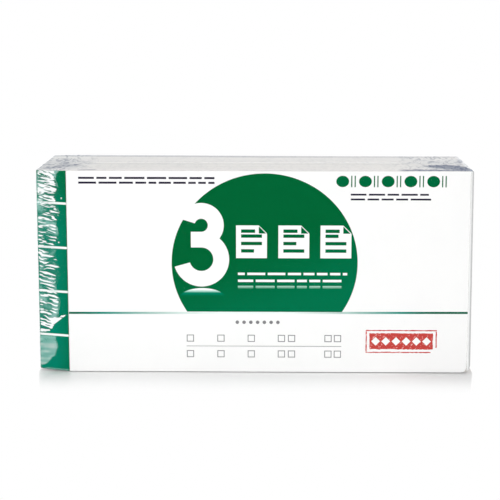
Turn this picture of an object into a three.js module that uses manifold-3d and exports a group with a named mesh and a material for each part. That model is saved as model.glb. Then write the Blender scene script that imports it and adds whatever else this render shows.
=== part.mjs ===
// A shrink-wrapped pack of triplicate receipt books, standing on its long edge.
// The front book opens: its cover and its first white, pink and yellow leaf turn about the crease,
// and the film's front flap, slit on three sides, swings clear ahead of them.
// Millimetres. +X runs from the spines to the fore-edges, +Y to the back of the pack and +Z up.
// The origin is under the middle of the pack, on the surface that it stands on.

import * as THREE from "three";
import { mergeVertices } from "three/addons/utils/BufferGeometryUtils.js";
import Module from "manifold-3d";

// Driving dimensions of the books
const BOOK_WIDTH = 190; // from the spine to the fore-edge
const BOOK_HEIGHT = 90; // between the two long edges
const BOOK_COUNT = 10;
const BOOK_GAP = 0.05; // air between neighbouring books
const SETS_PER_BOOK = 20;
const LEAVES_PER_SET = 3; // white original, pink duplicate, yellow triplicate
const LEAF_THICKNESS = 0.07; // carbonless copy paper
const LEAF_AIR = 0.02; // air between neighbouring leaves
const LEAF_INSET = 0.2; // how far the leaves stand back from the cover's cut edges
const COVER_THICKNESS = 0.3; // coated card, one sheet folded round each book
const BINDING_MARGIN = 13; // from the spine to the crease that the cover opens at
const SPINE_NIP = 0.45; // how much thinner the staples and the film press each book at its spine
const CREASE_GAP = 0.3; // the score line between what is bound and what turns
const CORNER_RADIUS = 2.5; // the lower fore-edge corners, rubbed round

// Driving dimensions of the perforation in each turning leaf
const PERFORATION_FROM_CREASE = 2.5;
const PERFORATION_PITCH = 3;
const CUT_LENGTH = 2;
const CUT_WIDTH = 0.3;

// Driving dimensions of the two wire staples under each book's cover
const STAPLE_CROWN = 12; // outside length, along the spine
const STAPLE_WIRE = 0.5; // square wire
const STAPLE_CLINCH = 4; // length of each folded end
const STAPLE_SPREAD = 50; // between the middles of the two staples
const STAPLE_FROM_SPINE = 6.5;
const STAPLE_SINK = 0.1; // how far the crown and the clinched ends lie below the leaves' faces
const STAPLE_CLEARANCE = 0.1; // between the wire and the leaves, besides the sink

// Driving dimensions of the shrink film
const FILM_THICKNESS = 0.05;
const FILM_GAP = 0.1; // between the film and the books
const FORE_EDGE_POCKET = 1.2; // air between the fore-edges and the film drawn across them
const FILM_SLIT = 0.1; // the cut that frees the front flap
const SEAM_WIDTH = 0.6; // the weld that closes the film, at half depth
const SEAM_HEIGHT = 0.4;
const SEAM_FROM_END = 4; // the long weld stops this far short of each end

const CORNER_STEPS = 8;
const MERGE_DISTANCE = 1e-4;

// Worked out from the sizes above
const leafPitch = LEAF_THICKNESS + LEAF_AIR;
const coverSkin = COVER_THICKNESS + LEAF_AIR;
const bookDepth = SETS_PER_BOOK * LEAVES_PER_SET * leafPitch + 2 * COVER_THICKNESS;
const stackDepth = stackOf(bookDepth);
const spineStackDepth = stackOf(bookDepth - SPINE_NIP);
const packWidth =
  BOOK_WIDTH + FILM_GAP + FORE_EDGE_POCKET + 2 * (FILM_THICKNESS + SEAM_HEIGHT);
const filmLeft = SEAM_HEIGHT - packWidth / 2;
const filmRight = packWidth / 2 - SEAM_HEIGHT;
const spineX = filmLeft + FILM_THICKNESS + FILM_GAP;
const foreEdgeX = spineX + BOOK_WIDTH;
const creaseX = spineX + BINDING_MARGIN;
const boundEndX = creaseX - CREASE_GAP / 2;
const leafCornerRadius = CORNER_RADIUS - LEAF_INSET;
const filmCornerRadius = CORNER_RADIUS + FORE_EDGE_POCKET;
const booksBottom = FILM_THICKNESS + FILM_GAP;
const filmTop = BOOK_HEIGHT + 2 * booksBottom;
const filmFront = stackDepth / 2 + FILM_GAP + FILM_THICKNESS;
const filmFrontAtSpine = spineStackDepth / 2 + FILM_GAP + FILM_THICKNESS;

function stackOf(depth) {
  return BOOK_COUNT * depth + (BOOK_COUNT - 1) * BOOK_GAP;
}

const wasm = await Module();
wasm.setup();

// Colours and finishes
const look = (color, roughness, metalness = 0) => ({ color, roughness, metalness });
const FILM = { ...look(0xe8eef0, 0.12), transparent: true, opacity: 0.3 };
const COVER_CARD = look(0xf6f6f4, 0.45);
const LEAF_EDGES = look(0xece4de, 0.8);
const WHITE_PAPER = look(0xf7f7f2, 0.7);
const PINK_PAPER = look(0xf0b9c4, 0.7);
const YELLOW_PAPER = look(0xf3e08c, 0.7);
const STAPLE_STEEL = look(0xb9bcc0, 0.3, 1);

function mesh(name, geometry, finish) {
  const made = new THREE.Mesh(geometry, new THREE.MeshStandardMaterial(finish));
  made.name = name;
  return made;
}

function shapeOf(points) {
  return new THREE.Shape(points.map(([x, y]) => new THREE.Vector2(x, y)));
}

// A block with its outline given as [x, y] points seen from above, standing from low to high.
function prism(outline, low, high) {
  const options = { depth: high - low, bevelEnabled: false };
  return new THREE.ExtrudeGeometry(shapeOf(outline), options).translate(0, 0, low);
}

// A block between two corners.
function block([x0, y0, z0], [x1, y1, z1]) {
  const box = new THREE.BoxGeometry(x1 - x0, y1 - y0, z1 - z0);
  return box.translate((x0 + x1) / 2, (y0 + y1) / 2, (z0 + z1) / 2);
}

function toSolid(geometry) {
  const bare = geometry.clone();
  bare.deleteAttribute("normal");
  bare.deleteAttribute("uv");
  const merged = mergeVertices(bare, MERGE_DISTANCE);
  const surface = new wasm.Mesh({
    numProp: 3,
    vertProperties: new Float32Array(merged.attributes.position.array),
    triVerts: new Uint32Array(merged.index.array),
  });
  return new wasm.Manifold(surface);
}

function toGeometry(solid) {
  const { vertProperties, triVerts } = solid.getMesh();
  const geometry = new THREE.BufferGeometry();
  geometry.setAttribute("position", new THREE.BufferAttribute(vertProperties, 3));
  geometry.setIndex(new THREE.BufferAttribute(triVerts, 1));
  geometry.computeVertexNormals();
  return geometry;
}

// Rounds the lower corner on the fore-edge side, which lies at the given x and z.
function rubCorner(solid, cornerX, cornerZ, radius) {
  const [x, z] = [cornerX - radius, cornerZ + radius];
  const waste = new THREE.Shape()
    .moveTo(x, cornerZ)
    .absarc(x, z, radius, -Math.PI / 2, 0)
    .lineTo(cornerX + radius, z)
    .lineTo(cornerX + radius, cornerZ - radius)
    .lineTo(x, cornerZ - radius);
  const depth = 4 * filmFront;
  const options = { depth, bevelEnabled: false, curveSegments: CORNER_STEPS };
  const cutter = new THREE.ExtrudeGeometry(waste, options)
    .rotateX(Math.PI / 2)
    .translate(0, depth / 2, 0);
  return solid.subtract(toSolid(cutter));
}

// A book's front face right of the crease, and how far its margin is pushed back at the spine.
function bookPlace(index) {
  const front = index * (bookDepth + BOOK_GAP) - stackDepth / 2;
  const spineFront = index * (bookDepth - SPINE_NIP + BOOK_GAP) - spineStackDepth / 2;
  return { front, spineShift: spineFront - front };
}

// A book's front and back faces seen from above, in the book's own frame, where y = 0 is its
// front face right of the crease. Both run straight from the spine to the crease.
function bookFaces(spineShift) {
  const towardsSpine = (x) => Math.max(0, (creaseX - x) / BINDING_MARGIN);
  return {
    front: (x) => spineShift * towardsSpine(x),
    back: (x) => bookDepth + (spineShift - SPINE_NIP) * towardsSpine(x),
  };
}

// The cover card, folded round the spine. Its front part runs from the spine to frontEnd.
function foldedCover(name, faces, frontEnd) {
  const inner = spineX + COVER_THICKNESS;
  const frontOutside = [spineX, creaseX, frontEnd].filter((x) => x <= frontEnd);
  const frontInside = [frontEnd, creaseX, inner].filter((x) => x <= frontEnd);
  const outline = [
    ...frontOutside.map((x) => [x, faces.front(x)]),
    ...frontInside.map((x) => [x, faces.front(x) + COVER_THICKNESS]),
    ...[inner, creaseX, foreEdgeX].map((x) => [x, faces.back(x) - COVER_THICKNESS]),
    ...[foreEdgeX, creaseX, spineX].map((x) => [x, faces.back(x)]),
  ];
  const card = toSolid(prism(outline, 0, BOOK_HEIGHT));
  const rubbed = rubCorner(card, foreEdgeX, 0, CORNER_RADIUS);
  return mesh(name, toGeometry(rubbed), COVER_CARD);
}

// The heights of the two staples' middles.
const staplePlaces = [
  ["upper", BOOK_HEIGHT / 2 + STAPLE_SPREAD / 2],
  ["lower", BOOK_HEIGHT / 2 - STAPLE_SPREAD / 2],
];

// A staple with its crown at the front and its ends folded towards each other at the back.
// Grown by the given margin, it is the room that the leaves leave for it.
function stapleGeometry(faces, middleZ, grow) {
  const x = spineX + STAPLE_FROM_SPINE;
  const crownY = faces.front(x) + coverSkin + STAPLE_SINK;
  const clinchY = faces.back(x) - coverSkin - STAPLE_SINK;
  const outside = STAPLE_CROWN / 2 + grow;
  const inside = STAPLE_CROWN / 2 - STAPLE_WIRE - grow;
  const tip = STAPLE_CROWN / 2 - STAPLE_CLINCH - grow;
  const half = [
    [outside, crownY - grow],
    [outside, clinchY + grow],
    [tip, clinchY + grow],
    [tip, clinchY - STAPLE_WIRE - grow],
    [inside, clinchY - STAPLE_WIRE - grow],
    [inside, crownY + STAPLE_WIRE + grow],
  ];
  const otherHalf = half.map(([along, y]) => [-along, y]).reverse();
  const width = STAPLE_WIRE + 2 * grow;
  const options = { depth: width, bevelEnabled: false };
  return new THREE.ExtrudeGeometry(shapeOf([...half, ...otherHalf]), options)
    .translate(0, 0, -width / 2)
    .rotateY(-Math.PI / 2)
    .translate(x, 0, middleZ);
}

// The bound leaves in one block, with room for the staples. Of the leaves that turn, it holds
// only the stubs left of the crease.
function leafBlock(name, faces, turningLeaves) {
  const left = spineX + coverSkin;
  const right = foreEdgeX - LEAF_INSET;
  const step = turningLeaves * leafPitch;
  const stepX = turningLeaves ? boundEndX : creaseX;
  const stubs = [left, stepX].map((x) => [x, faces.front(x) + coverSkin]);
  const outline = [
    ...stubs,
    ...(turningLeaves ? [[stepX, faces.front(stepX) + coverSkin + step]] : []),
    [right, coverSkin + step],
    ...[right, creaseX, left].map((x) => [x, faces.back(x) - coverSkin]),
  ];
  const room = STAPLE_SINK + STAPLE_CLEARANCE;
  let leaves = toSolid(prism(outline, LEAF_INSET, BOOK_HEIGHT - LEAF_INSET));
  leaves = rubCorner(leaves, right, LEAF_INSET, leafCornerRadius);
  for (const [, z] of staplePlaces) {
    leaves = leaves.subtract(toSolid(stapleGeometry(faces, z, room)));
  }
  return mesh(name, toGeometry(leaves), LEAF_EDGES);
}

// The fixed pieces of one book. The front book's cover and first leaves are made apart.
function boundBook(number, { opens = false } = {}) {
  const { front, spineShift } = bookPlace(number - 1);
  const faces = bookFaces(spineShift);
  const prefix = `book_${String(number).padStart(2, "0")}`;
  const coverName = opens ? `${prefix}_cover_spine_and_back` : `${prefix}_cover`;
  const book = new THREE.Group();
  book.position.set(0, front, booksBottom);
  book.add(
    foldedCover(coverName, faces, opens ? boundEndX : foreEdgeX),
    leafBlock(`${prefix}_leaf_block`, faces, opens ? LEAVES_PER_SET : 0),
  );
  for (const [place, z] of staplePlaces) {
    const wire = stapleGeometry(faces, z, 0);
    book.add(mesh(`${prefix}_staple_${place}`, wire, STAPLE_STEEL));
  }
  return book;
}

// A leaf that turns, drawn from the crease, with its row of perforation cuts.
function turningLeaf(name, order, finish) {
  const [left, right] = [CREASE_GAP / 2, foreEdgeX - LEAF_INSET - creaseX];
  const [low, high] = [LEAF_INSET, BOOK_HEIGHT - LEAF_INSET];
  const outline = [
    [left, low],
    [right, low],
    [right, high],
    [left, high],
  ];
  const leaf = shapeOf(outline);
  const cuts = Math.floor((high - low - CUT_LENGTH) / PERFORATION_PITCH);
  for (let i = 0; i < cuts; i++) {
    const z = (low + high) / 2 + (i - (cuts - 1) / 2) * PERFORATION_PITCH;
    const [x0, x1] = [PERFORATION_FROM_CREASE, PERFORATION_FROM_CREASE + CUT_WIDTH];
    const [z0, z1] = [z - CUT_LENGTH / 2, z + CUT_LENGTH / 2];
    const cut = [
      [x0, z0],
      [x0, z1],
      [x1, z1],
      [x1, z0],
    ];
    leaf.holes.push(new THREE.Path(cut.map(([x, y]) => new THREE.Vector2(x, y))));
  }
  const options = { depth: LEAF_THICKNESS, bevelEnabled: false };
  const front = coverSkin + order * leafPitch;
  const sheet = new THREE.ExtrudeGeometry(leaf, options)
    .rotateX(Math.PI / 2)
    .translate(0, front + LEAF_THICKNESS, 0);
  const rubbed = rubCorner(toSolid(sheet), right, low, leafCornerRadius);
  return mesh(name, toGeometry(rubbed), finish);
}

// What turns about the front book's crease: its cover and the leaves of its first set.
function openingPart() {
  const opening = new THREE.Group();
  opening.position.set(creaseX, bookPlace(0).front, booksBottom);
  const right = foreEdgeX - creaseX;
  const card = block([CREASE_GAP / 2, 0, 0], [right, COVER_THICKNESS, BOOK_HEIGHT]);
  const cover = rubCorner(toSolid(card), right, 0, CORNER_RADIUS);
  opening.add(
    mesh("book_01_front_cover", toGeometry(cover), COVER_CARD),
    turningLeaf("book_01_white_leaf", 0, WHITE_PAPER),
    turningLeaf("book_01_pink_leaf", 1, PINK_PAPER),
    turningLeaf("book_01_yellow_leaf", 2, YELLOW_PAPER),
  );
  return opening;
}

// The film's plan, drawn in from its outer faces by the given depth.
function filmPlan(inset) {
  const [left, right] = [filmLeft + inset, filmRight - inset];
  const [half, halfAtSpine] = [filmFront - inset, filmFrontAtSpine - inset];
  return [
    [left, -halfAtSpine],
    [creaseX, -half],
    [right, -half],
    [right, half],
    [creaseX, half],
    [left, halfAtSpine],
  ];
}

// The film round the whole pack, open where the flap is slit, with the weld that closes it.
function filmWrap() {
  const skin = (inset) => {
    const full = prism(filmPlan(inset), inset, filmTop - inset);
    return rubCorner(toSolid(full), filmRight - inset, inset, filmCornerRadius - inset);
  };
  const flapOpening = block(
    [creaseX - FILM_SLIT / 2, -2 * filmFront, -filmTop],
    [2 * filmRight, FILM_THICKNESS + FILM_SLIT - filmFront, 2 * filmTop],
  );
  const half = SEAM_WIDTH / 2;
  const [endLow, endHigh] = [SEAM_FROM_END, filmTop - SEAM_FROM_END];
  const root = FILM_THICKNESS / 2;
  const welds = [
    block(
      [filmLeft + SEAM_FROM_END, -half, filmTop - root],
      [filmRight - SEAM_FROM_END, half, filmTop + SEAM_HEIGHT],
    ),
    block([filmLeft - SEAM_HEIGHT, -half, endLow], [filmLeft + root, half, endHigh]),
    block([filmRight - root, -half, endLow], [filmRight + SEAM_HEIGHT, half, endHigh]),
  ];
  let wrap = skin(0).subtract(skin(FILM_THICKNESS)).subtract(toSolid(flapOpening));
  for (const weld of welds) wrap = wrap.add(toSolid(weld));
  return mesh("film_wrap", toGeometry(wrap), FILM);
}

function filmFlap() {
  const sheet = block(
    [creaseX + FILM_SLIT / 2, -filmFront, FILM_SLIT],
    [filmRight, FILM_THICKNESS - filmFront, filmTop - FILM_SLIT],
  );
  const flap = rubCorner(toSolid(sheet), filmRight, 0, filmCornerRadius);
  return mesh("film_front_flap", toGeometry(flap), FILM);
}

const pack = new THREE.Group();
pack.name = "receipt_book_pack";
pack.add(boundBook(1, { opens: true }), openingPart());
for (let number = 2; number <= BOOK_COUNT; number++) pack.add(boundBook(number));
pack.add(filmWrap(), filmFlap());

export default pack;
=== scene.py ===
"""Looks for a film-wrapped pack of ten triplicate receipt books, standing on its long edge.

Sizes are real ones in millimetres and are turned into metres where a mesh or a finish is made.
"""

import logging
import math
from dataclasses import dataclass
from enum import Enum
from typing import Iterable, Sequence

import bmesh
import bpy
import numpy as np
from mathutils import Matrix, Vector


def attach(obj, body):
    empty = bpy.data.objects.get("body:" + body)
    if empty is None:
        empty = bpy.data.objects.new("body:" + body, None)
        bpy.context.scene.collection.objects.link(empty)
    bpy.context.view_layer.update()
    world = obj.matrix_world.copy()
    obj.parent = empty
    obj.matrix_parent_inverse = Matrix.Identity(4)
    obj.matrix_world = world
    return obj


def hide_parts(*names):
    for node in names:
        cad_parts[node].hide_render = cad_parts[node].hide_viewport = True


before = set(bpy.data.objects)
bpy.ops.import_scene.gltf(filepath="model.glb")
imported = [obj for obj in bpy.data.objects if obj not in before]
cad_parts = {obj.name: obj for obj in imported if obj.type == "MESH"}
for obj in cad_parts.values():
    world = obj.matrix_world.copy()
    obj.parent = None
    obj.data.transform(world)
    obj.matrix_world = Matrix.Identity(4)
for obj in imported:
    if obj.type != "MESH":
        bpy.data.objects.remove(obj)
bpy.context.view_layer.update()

MM = 0.001
MERGE_DISTANCE = 0.01
LOG = logging.getLogger("receipt_books")

Colour = tuple[float, float, float, float]
Place = tuple[float, float, float]
Outline = list[tuple[float, float]]
Line = tuple[tuple[float, float], ...]
Span = tuple[float, float]
Socket = bpy.types.NodeSocket

PLAIN_WHITE: Colour = (1.0, 1.0, 1.0, 1.0)


class Body(Enum):
    """The bodies that a piece can ride on."""

    STACK = "wrapped_stack"
    COVER = "front_cover"
    FLAP = "film_flap"
    WHITE_LEAF = "white_leaf"
    PINK_LEAF = "pink_leaf"
    YELLOW_LEAF = "yellow_leaf"


class Slot(Enum):
    """The record's finishes."""

    FILM = "shrink_film"
    CARD = "cover_card"
    EDGES = "leaf_edges"
    WHITE = "white_paper"
    PINK = "pink_paper"
    YELLOW = "yellow_paper"
    STEEL = "staple_steel"


class Copy(Enum):
    """The three copies that make one set, from the front."""

    WHITE = 0
    PINK = 1
    YELLOW = 2


def ink(red: int, green: int, blue: int) -> Colour:
    """Turns a screen colour into the linear colour that a shader takes.

    Args:
        red: the red part, from 0 to 255.
        green: the green part.
        blue: the blue part.

    Returns:
        The linear colour, opaque.
    """
    parts = [value / 255 for value in (red, green, blue)]
    linear = [v / 12.92 if v <= 0.04045 else ((v + 0.055) / 1.055) ** 2.4 for v in parts]
    return (linear[0], linear[1], linear[2], 1.0)


def smooth(low: float, high: float, value: np.ndarray) -> np.ndarray:
    """Goes smoothly from 0 at low to 1 at high."""
    share = np.clip((np.asarray(value, float) - low) / (high - low), 0, 1)
    return share * share * (3 - 2 * share)


def rubbed(x: np.ndarray, end: float, radius: float) -> np.ndarray:
    """How far a lower edge rises at x where its corner at the end is rubbed round.

    Args:
        x: places along the edge.
        end: where the edge ends.
        radius: the radius of the corner.

    Returns:
        The rise, 0 up to where the corner begins.
    """
    past = np.clip(np.asarray(x, float) - (end - radius), 0, None)
    return radius - np.sqrt(np.clip(radius**2 - past**2, 0, None))


@dataclass(frozen=True)
class PackSizes:
    """The sizes that the solids are built from, in millimetres.

    Two differ from the solids. The spine stands 0.3 further out, because the photo's left end
    does, and each lower spine corner is raised by spine_lift.
    """

    books: int = 10
    leaves: int = 60
    spine_x: float = -95.85
    fore_edge_x: float = 94.45
    crease_x: float = -82.55
    bound_end_x: float = -82.7
    book_bottom: float = 0.15
    book_top: float = 90.15
    stack_front: float = -30.225
    stack_front_at_spine: float = -27.975
    book_depth: float = 6.0
    book_gap: float = 0.05
    spine_nip: float = 0.45
    card: float = 0.3
    leaf: float = 0.07
    leaf_pitch: float = 0.09
    leaf_start: float = 0.32
    leaf_inset: float = 0.2
    corner_radius: float = 2.5
    spine_lift: float = 0.8

    @property
    def margin(self) -> float:
        """Width of the bound margin."""
        return self.crease_x - self.spine_x

    def towards_spine(self, x: float) -> float:
        """How far x is from the crease to the spine, from 0 to 1."""
        return min(1.0, max(0.0, (self.crease_x - x) / self.margin))

    def front(self, index: int, x: float) -> float:
        """The front face of a book, pressed thinner towards the spine.

        Args:
            index: the book, counted from 0 at the front.
            x: the place across it.

        Returns:
            The face's y.
        """
        flat = self.stack_front + index * (self.book_depth + self.book_gap)
        pressed = self.book_depth - self.spine_nip + self.book_gap
        at_spine = self.stack_front_at_spine + index * pressed
        share = self.towards_spine(x)
        return flat * (1 - share) + at_spine * share

    def back(self, index: int, x: float) -> float:
        """The back face of a book, counted from 0, at x."""
        return self.front(index, x) + self.book_depth - self.spine_nip * self.towards_spine(x)

    def lower_edge(self, x: float, inset: float = 0.0) -> float:
        """Height of a lower edge at x, with its rubbed corner at the fore-edge."""
        rise = float(rubbed(x, self.fore_edge_x - inset, self.corner_radius - inset))
        return self.book_bottom + inset + rise + self.spine_lift * self.towards_spine(x)


PACK = PackSizes()


class Wiring:
    """A node tree while it is being built."""

    def __init__(self, tree: bpy.types.NodeTree) -> None:
        """Takes the tree that the nodes go into."""
        self.tree = tree

    def plug(self, target: Socket, source: object) -> None:
        """Sets a socket to a plain value, or links it to another socket.

        Args:
            target: the socket that is set.
            source: the value, or the socket that it comes from.
        """
        if isinstance(source, bpy.types.NodeSocket):
            self.tree.links.new(source, target)
        else:
            target.default_value = source

    def node(self, kind: str, settings: dict[str, object] | None = None,
             **inputs: object) -> bpy.types.Node:
        """Adds a node, sets its properties and plugs its inputs.

        Args:
            kind: the node's type.
            settings: properties of the node by name.
            inputs: values or sockets by the input's name, its spaces written as underscores.

        Returns:
            The new node.
        """
        made = self.tree.nodes.new(kind)
        for name, value in (settings or {}).items():
            setattr(made, name, value)
        for name, value in inputs.items():
            self.plug(made.inputs[name.replace("_", " ")], value)
        return made

    def fed(self, made: bpy.types.Node, *sources: object) -> bpy.types.Node:
        """Plugs a node's first inputs in their order.

        Args:
            made: the node.
            sources: values or sockets, one for each input.

        Returns:
            The same node.
        """
        for target, source in zip(made.inputs, sources):
            self.plug(target, source)
        return made

    def math(self, operation: str, *values: object, clamp: bool = False) -> Socket:
        """Adds a Math node.

        Args:
            operation: what it works out.
            values: the numbers that it takes, up to three.
            clamp: whether the result is kept from 0 to 1.

        Returns:
            The result.
        """
        made = self.node("ShaderNodeMath", {"operation": operation, "use_clamp": clamp})
        return self.fed(made, *values).outputs[0]

    def times(self, first: object, second: object) -> Socket:
        """The product of two numbers."""
        return self.math("MULTIPLY", first, second)

    def parts(self, vector: Socket) -> Sequence[Socket]:
        """The x, y and z of a vector."""
        return self.node("ShaderNodeSeparateXYZ", Vector=vector).outputs

    def mixed(self, share: object, first: Socket, second: Socket) -> Socket:
        """A shader between two, the second where share is 1."""
        return self.fed(self.node("ShaderNodeMixShader"), share, first, second).outputs[0]

    def seen(self) -> Socket:
        """Tells the rays of the picture from all other light.

        Returns:
            1 to the camera, in reflections and through clear things, and 0 otherwise.
        """
        path = self.node("ShaderNodeLightPath").outputs
        direct = self.math("MAXIMUM", path["Is Camera Ray"], path["Is Glossy Ray"])
        return self.math("MAXIMUM", direct, path["Is Transmission Ray"])


class Recipe(Wiring):
    """Builds one material out of nodes."""

    def __init__(self, name: str) -> None:
        """Starts an empty material.

        Args:
            name: the material's name.
        """
        self.material = bpy.data.materials.new(name)
        self.material.use_nodes = True
        super().__init__(self.material.node_tree)
        self.tree.nodes.clear()
        self.output = self.node("ShaderNodeOutputMaterial")

    def shader(self, kind: str, **inputs: object) -> Socket:
        """Adds a shader node with its inputs given by name."""
        return self.node(kind, None, **inputs).outputs[0]

    def step(self, value: object, low: float, high: float) -> Socket:
        """Goes smoothly from 0 where value is low to 1 where it is high."""
        return self.node("ShaderNodeMapRange", {"interpolation_type": "SMOOTHSTEP"},
                         Value=value, From_Min=low, From_Max=high).outputs[0]

    def place(self) -> tuple[Socket, ...]:
        """The place on the piece as a vector, and its x, y and z, in metres."""
        where = self.node("ShaderNodeTexCoord").outputs["Object"]
        return (where, *self.parts(where))

    def stretched(self, scale: Place) -> Socket:
        """The place with each axis multiplied."""
        return self.node("ShaderNodeMapping", None, Vector=self.place()[0],
                         Scale=scale).outputs[0]

    def level(self, normal: str) -> Socket:
        """How level the face lies by the named normal, from 0 upright to 1 flat."""
        return self.math("ABSOLUTE",
                         self.parts(self.node("ShaderNodeNewGeometry").outputs[normal])[2])

    def noise(self, where: Socket, scale: float, detail: float = 3.0, roughness: float = 0.55,
              distortion: object = 0.0) -> Socket:
        """A noise pattern.

        Args:
            where: the place that it is read at.
            scale: waves per metre.
            detail: how many finer waves are added.
            roughness: how strong they are.
            distortion: how much the pattern swirls.

        Returns:
            A number about 0.5, from 0 to 1.
        """
        made = self.node("ShaderNodeTexNoise", None, Vector=where, Scale=scale, Detail=detail,
                         Roughness=roughness, Distortion=distortion)
        return made.outputs["Fac"]

    def blend(self, share: object, first: object, second: object) -> Socket:
        """A colour between two.

        Args:
            share: 0 for the first colour, 1 for the second.
            first: one colour.
            second: the other.

        Returns:
            The colour.
        """
        made = self.node("ShaderNodeMix", {"data_type": "RGBA"})
        for number, source in ((0, share), (6, first), (7, second)):
            self.plug(made.inputs[number], source)
        return made.outputs[2]

    def bump(self, height: object, depth: float, strength: float = 1.0) -> Socket:
        """A normal for a relief whose full height is depth metres."""
        return self.node("ShaderNodeBump", None, Distance=depth, Strength=strength,
                         Height=height).outputs[0]

    def attribute(self, name: str) -> Socket:
        """A number that the mesh carries at its points."""
        return self.node("ShaderNodeAttribute", {"attribute_name": name}).outputs["Fac"]

    def finish(self, surface: Socket) -> bpy.types.Material:
        """Ends the material with that shader."""
        self.plug(self.output.inputs["Surface"], surface)
        return self.material

    def solid(self, **inputs: object) -> bpy.types.Material:
        """Ends the material with a Principled shader with those inputs."""
        return self.finish(self.shader("ShaderNodeBsdfPrincipled", **inputs))


@dataclass(frozen=True)
class PaperFinish:
    """Plain uncoated copy paper."""

    name: str
    colour: Colour
    mottling: float = 0.05
    roughness: float = 0.75
    gloss_index: float = 1.25
    cloud_scale: float = 70.0
    fibre_scale: float = 1600.0
    fibre_relief: float = 0.00002

    def make(self) -> bpy.types.Material:
        """Mixes the finish.

        Returns:
            Paper with fibres and a faint cloudiness.
        """
        paper = Recipe(self.name)
        where = paper.place()[0]
        cloud = paper.noise(where, self.cloud_scale, 4.0)
        fibres = paper.noise(where, self.fibre_scale, 5.0, 0.7)
        darker = tuple(v * (1 - self.mottling) for v in self.colour[:3]) + (1.0,)
        both = paper.math("MULTIPLY_ADD", fibres, 0.5, paper.times(cloud, 0.5))
        return paper.solid(
            Base_Color=paper.blend(both, darker, self.colour),
            Roughness=self.roughness,
            IOR=self.gloss_index,
            Normal=paper.bump(fibres, self.fibre_relief, 0.6),
        )


@dataclass(frozen=True)
class CardFinish:
    """Coated cover card with the printed band round the spine."""

    name: str = "coated_card"
    white: Colour = ink(247, 247, 246)
    cloudy: Colour = ink(243, 243, 243)
    core: Colour = ink(236, 234, 229)
    cut_face_from: float = 0.7
    band_deep: Colour = ink(0, 104, 64)
    band_light: Colour = ink(2, 127, 103)
    band_edge_x: float = -82.48
    band_light_x: float = -89.5
    band_light_z: float = 64.0
    band_deep_width: float = 0.6
    score_start: float = 0.75
    score_end: float = 0.25
    score_depth: float = 0.3
    first_line_z: float = 16.3
    line_pitch: float = 19.77
    line_tilt: float = 0.03
    line_width: float = 1.0
    print_softness: float = 0.04
    roughness: float = 0.32
    gloss_index: float = 1.07
    cloud_scale: float = 45.0
    grain_scale: float = 900.0
    grain_contrast: float = 0.3
    grain_relief: float = 0.000012

    def inked(self, card: Recipe, x: Socket, z: Socket) -> Socket:
        """Where the margin is green: left of the crease, and clear of the white lines.

        Args:
            card: the material being built.
            x: the place across the card.
            z: the place up the card.

        Returns:
            1 on the green, 0 off it.
        """
        soft, half = self.print_softness, self.line_width / 2
        bound = card.step(x, (self.band_edge_x + soft) * MM, (self.band_edge_x - soft) * MM)
        tilted = card.math("MULTIPLY_ADD", x, self.line_tilt, z)
        start = self.first_line_z - self.line_pitch + self.line_tilt * self.band_edge_x
        shifted = card.math("SUBTRACT", tilted, start * MM)
        from_line = card.math("PINGPONG", shifted, self.line_pitch / 2 * MM)
        return card.times(bound, card.step(from_line, (half - soft) * MM, (half + soft) * MM))

    def lightness(self, card: Recipe, x: Socket, z: Socket, grain: Socket) -> Socket:
        """How light the green is: lighter downwards and towards the spine, darker by the score.

        Args:
            card: the material being built.
            x: the place across the card.
            z: the place up the card.
            grain: a fine noise.

        Returns:
            0 for the deep green, 1 for the light one.
        """
        edge = self.band_edge_x
        down = card.step(z, PACK.book_top * MM, self.band_light_z * MM)
        across = card.step(x, (edge - self.band_deep_width) * MM, self.band_light_x * MM)
        lighter = card.math("MULTIPLY_ADD", across, 0.5, card.times(down, 0.5))
        scored = card.step(x, (edge - self.score_start) * MM, (edge - self.score_end) * MM)
        lighter = card.math("MULTIPLY_ADD", scored, -self.score_depth, lighter)
        return card.math("MULTIPLY_ADD", card.math("SUBTRACT", grain, 0.5), self.grain_contrast,
                         lighter, clamp=True)

    def make(self) -> bpy.types.Material:
        """Mixes the finish.

        Returns:
            White card whose margin is green, crossed by four white lines.
        """
        card = Recipe(self.name)
        where, x, _, z = card.place()
        grain = card.noise(where, self.grain_scale, 4.0, 0.65)
        paper = card.blend(card.noise(where, self.cloud_scale), self.cloudy, self.white)
        on_face = card.math("LESS_THAN", card.level("Normal"), self.cut_face_from)
        green = card.blend(self.lightness(card, x, z, grain), self.band_deep, self.band_light)
        band = card.times(self.inked(card, x, z), on_face)
        return card.solid(
            Base_Color=card.blend(band, card.blend(on_face, self.core, paper), green),
            Roughness=self.roughness,
            IOR=self.gloss_index,
            Normal=card.bump(grain, self.grain_relief, 0.5),
        )


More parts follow.
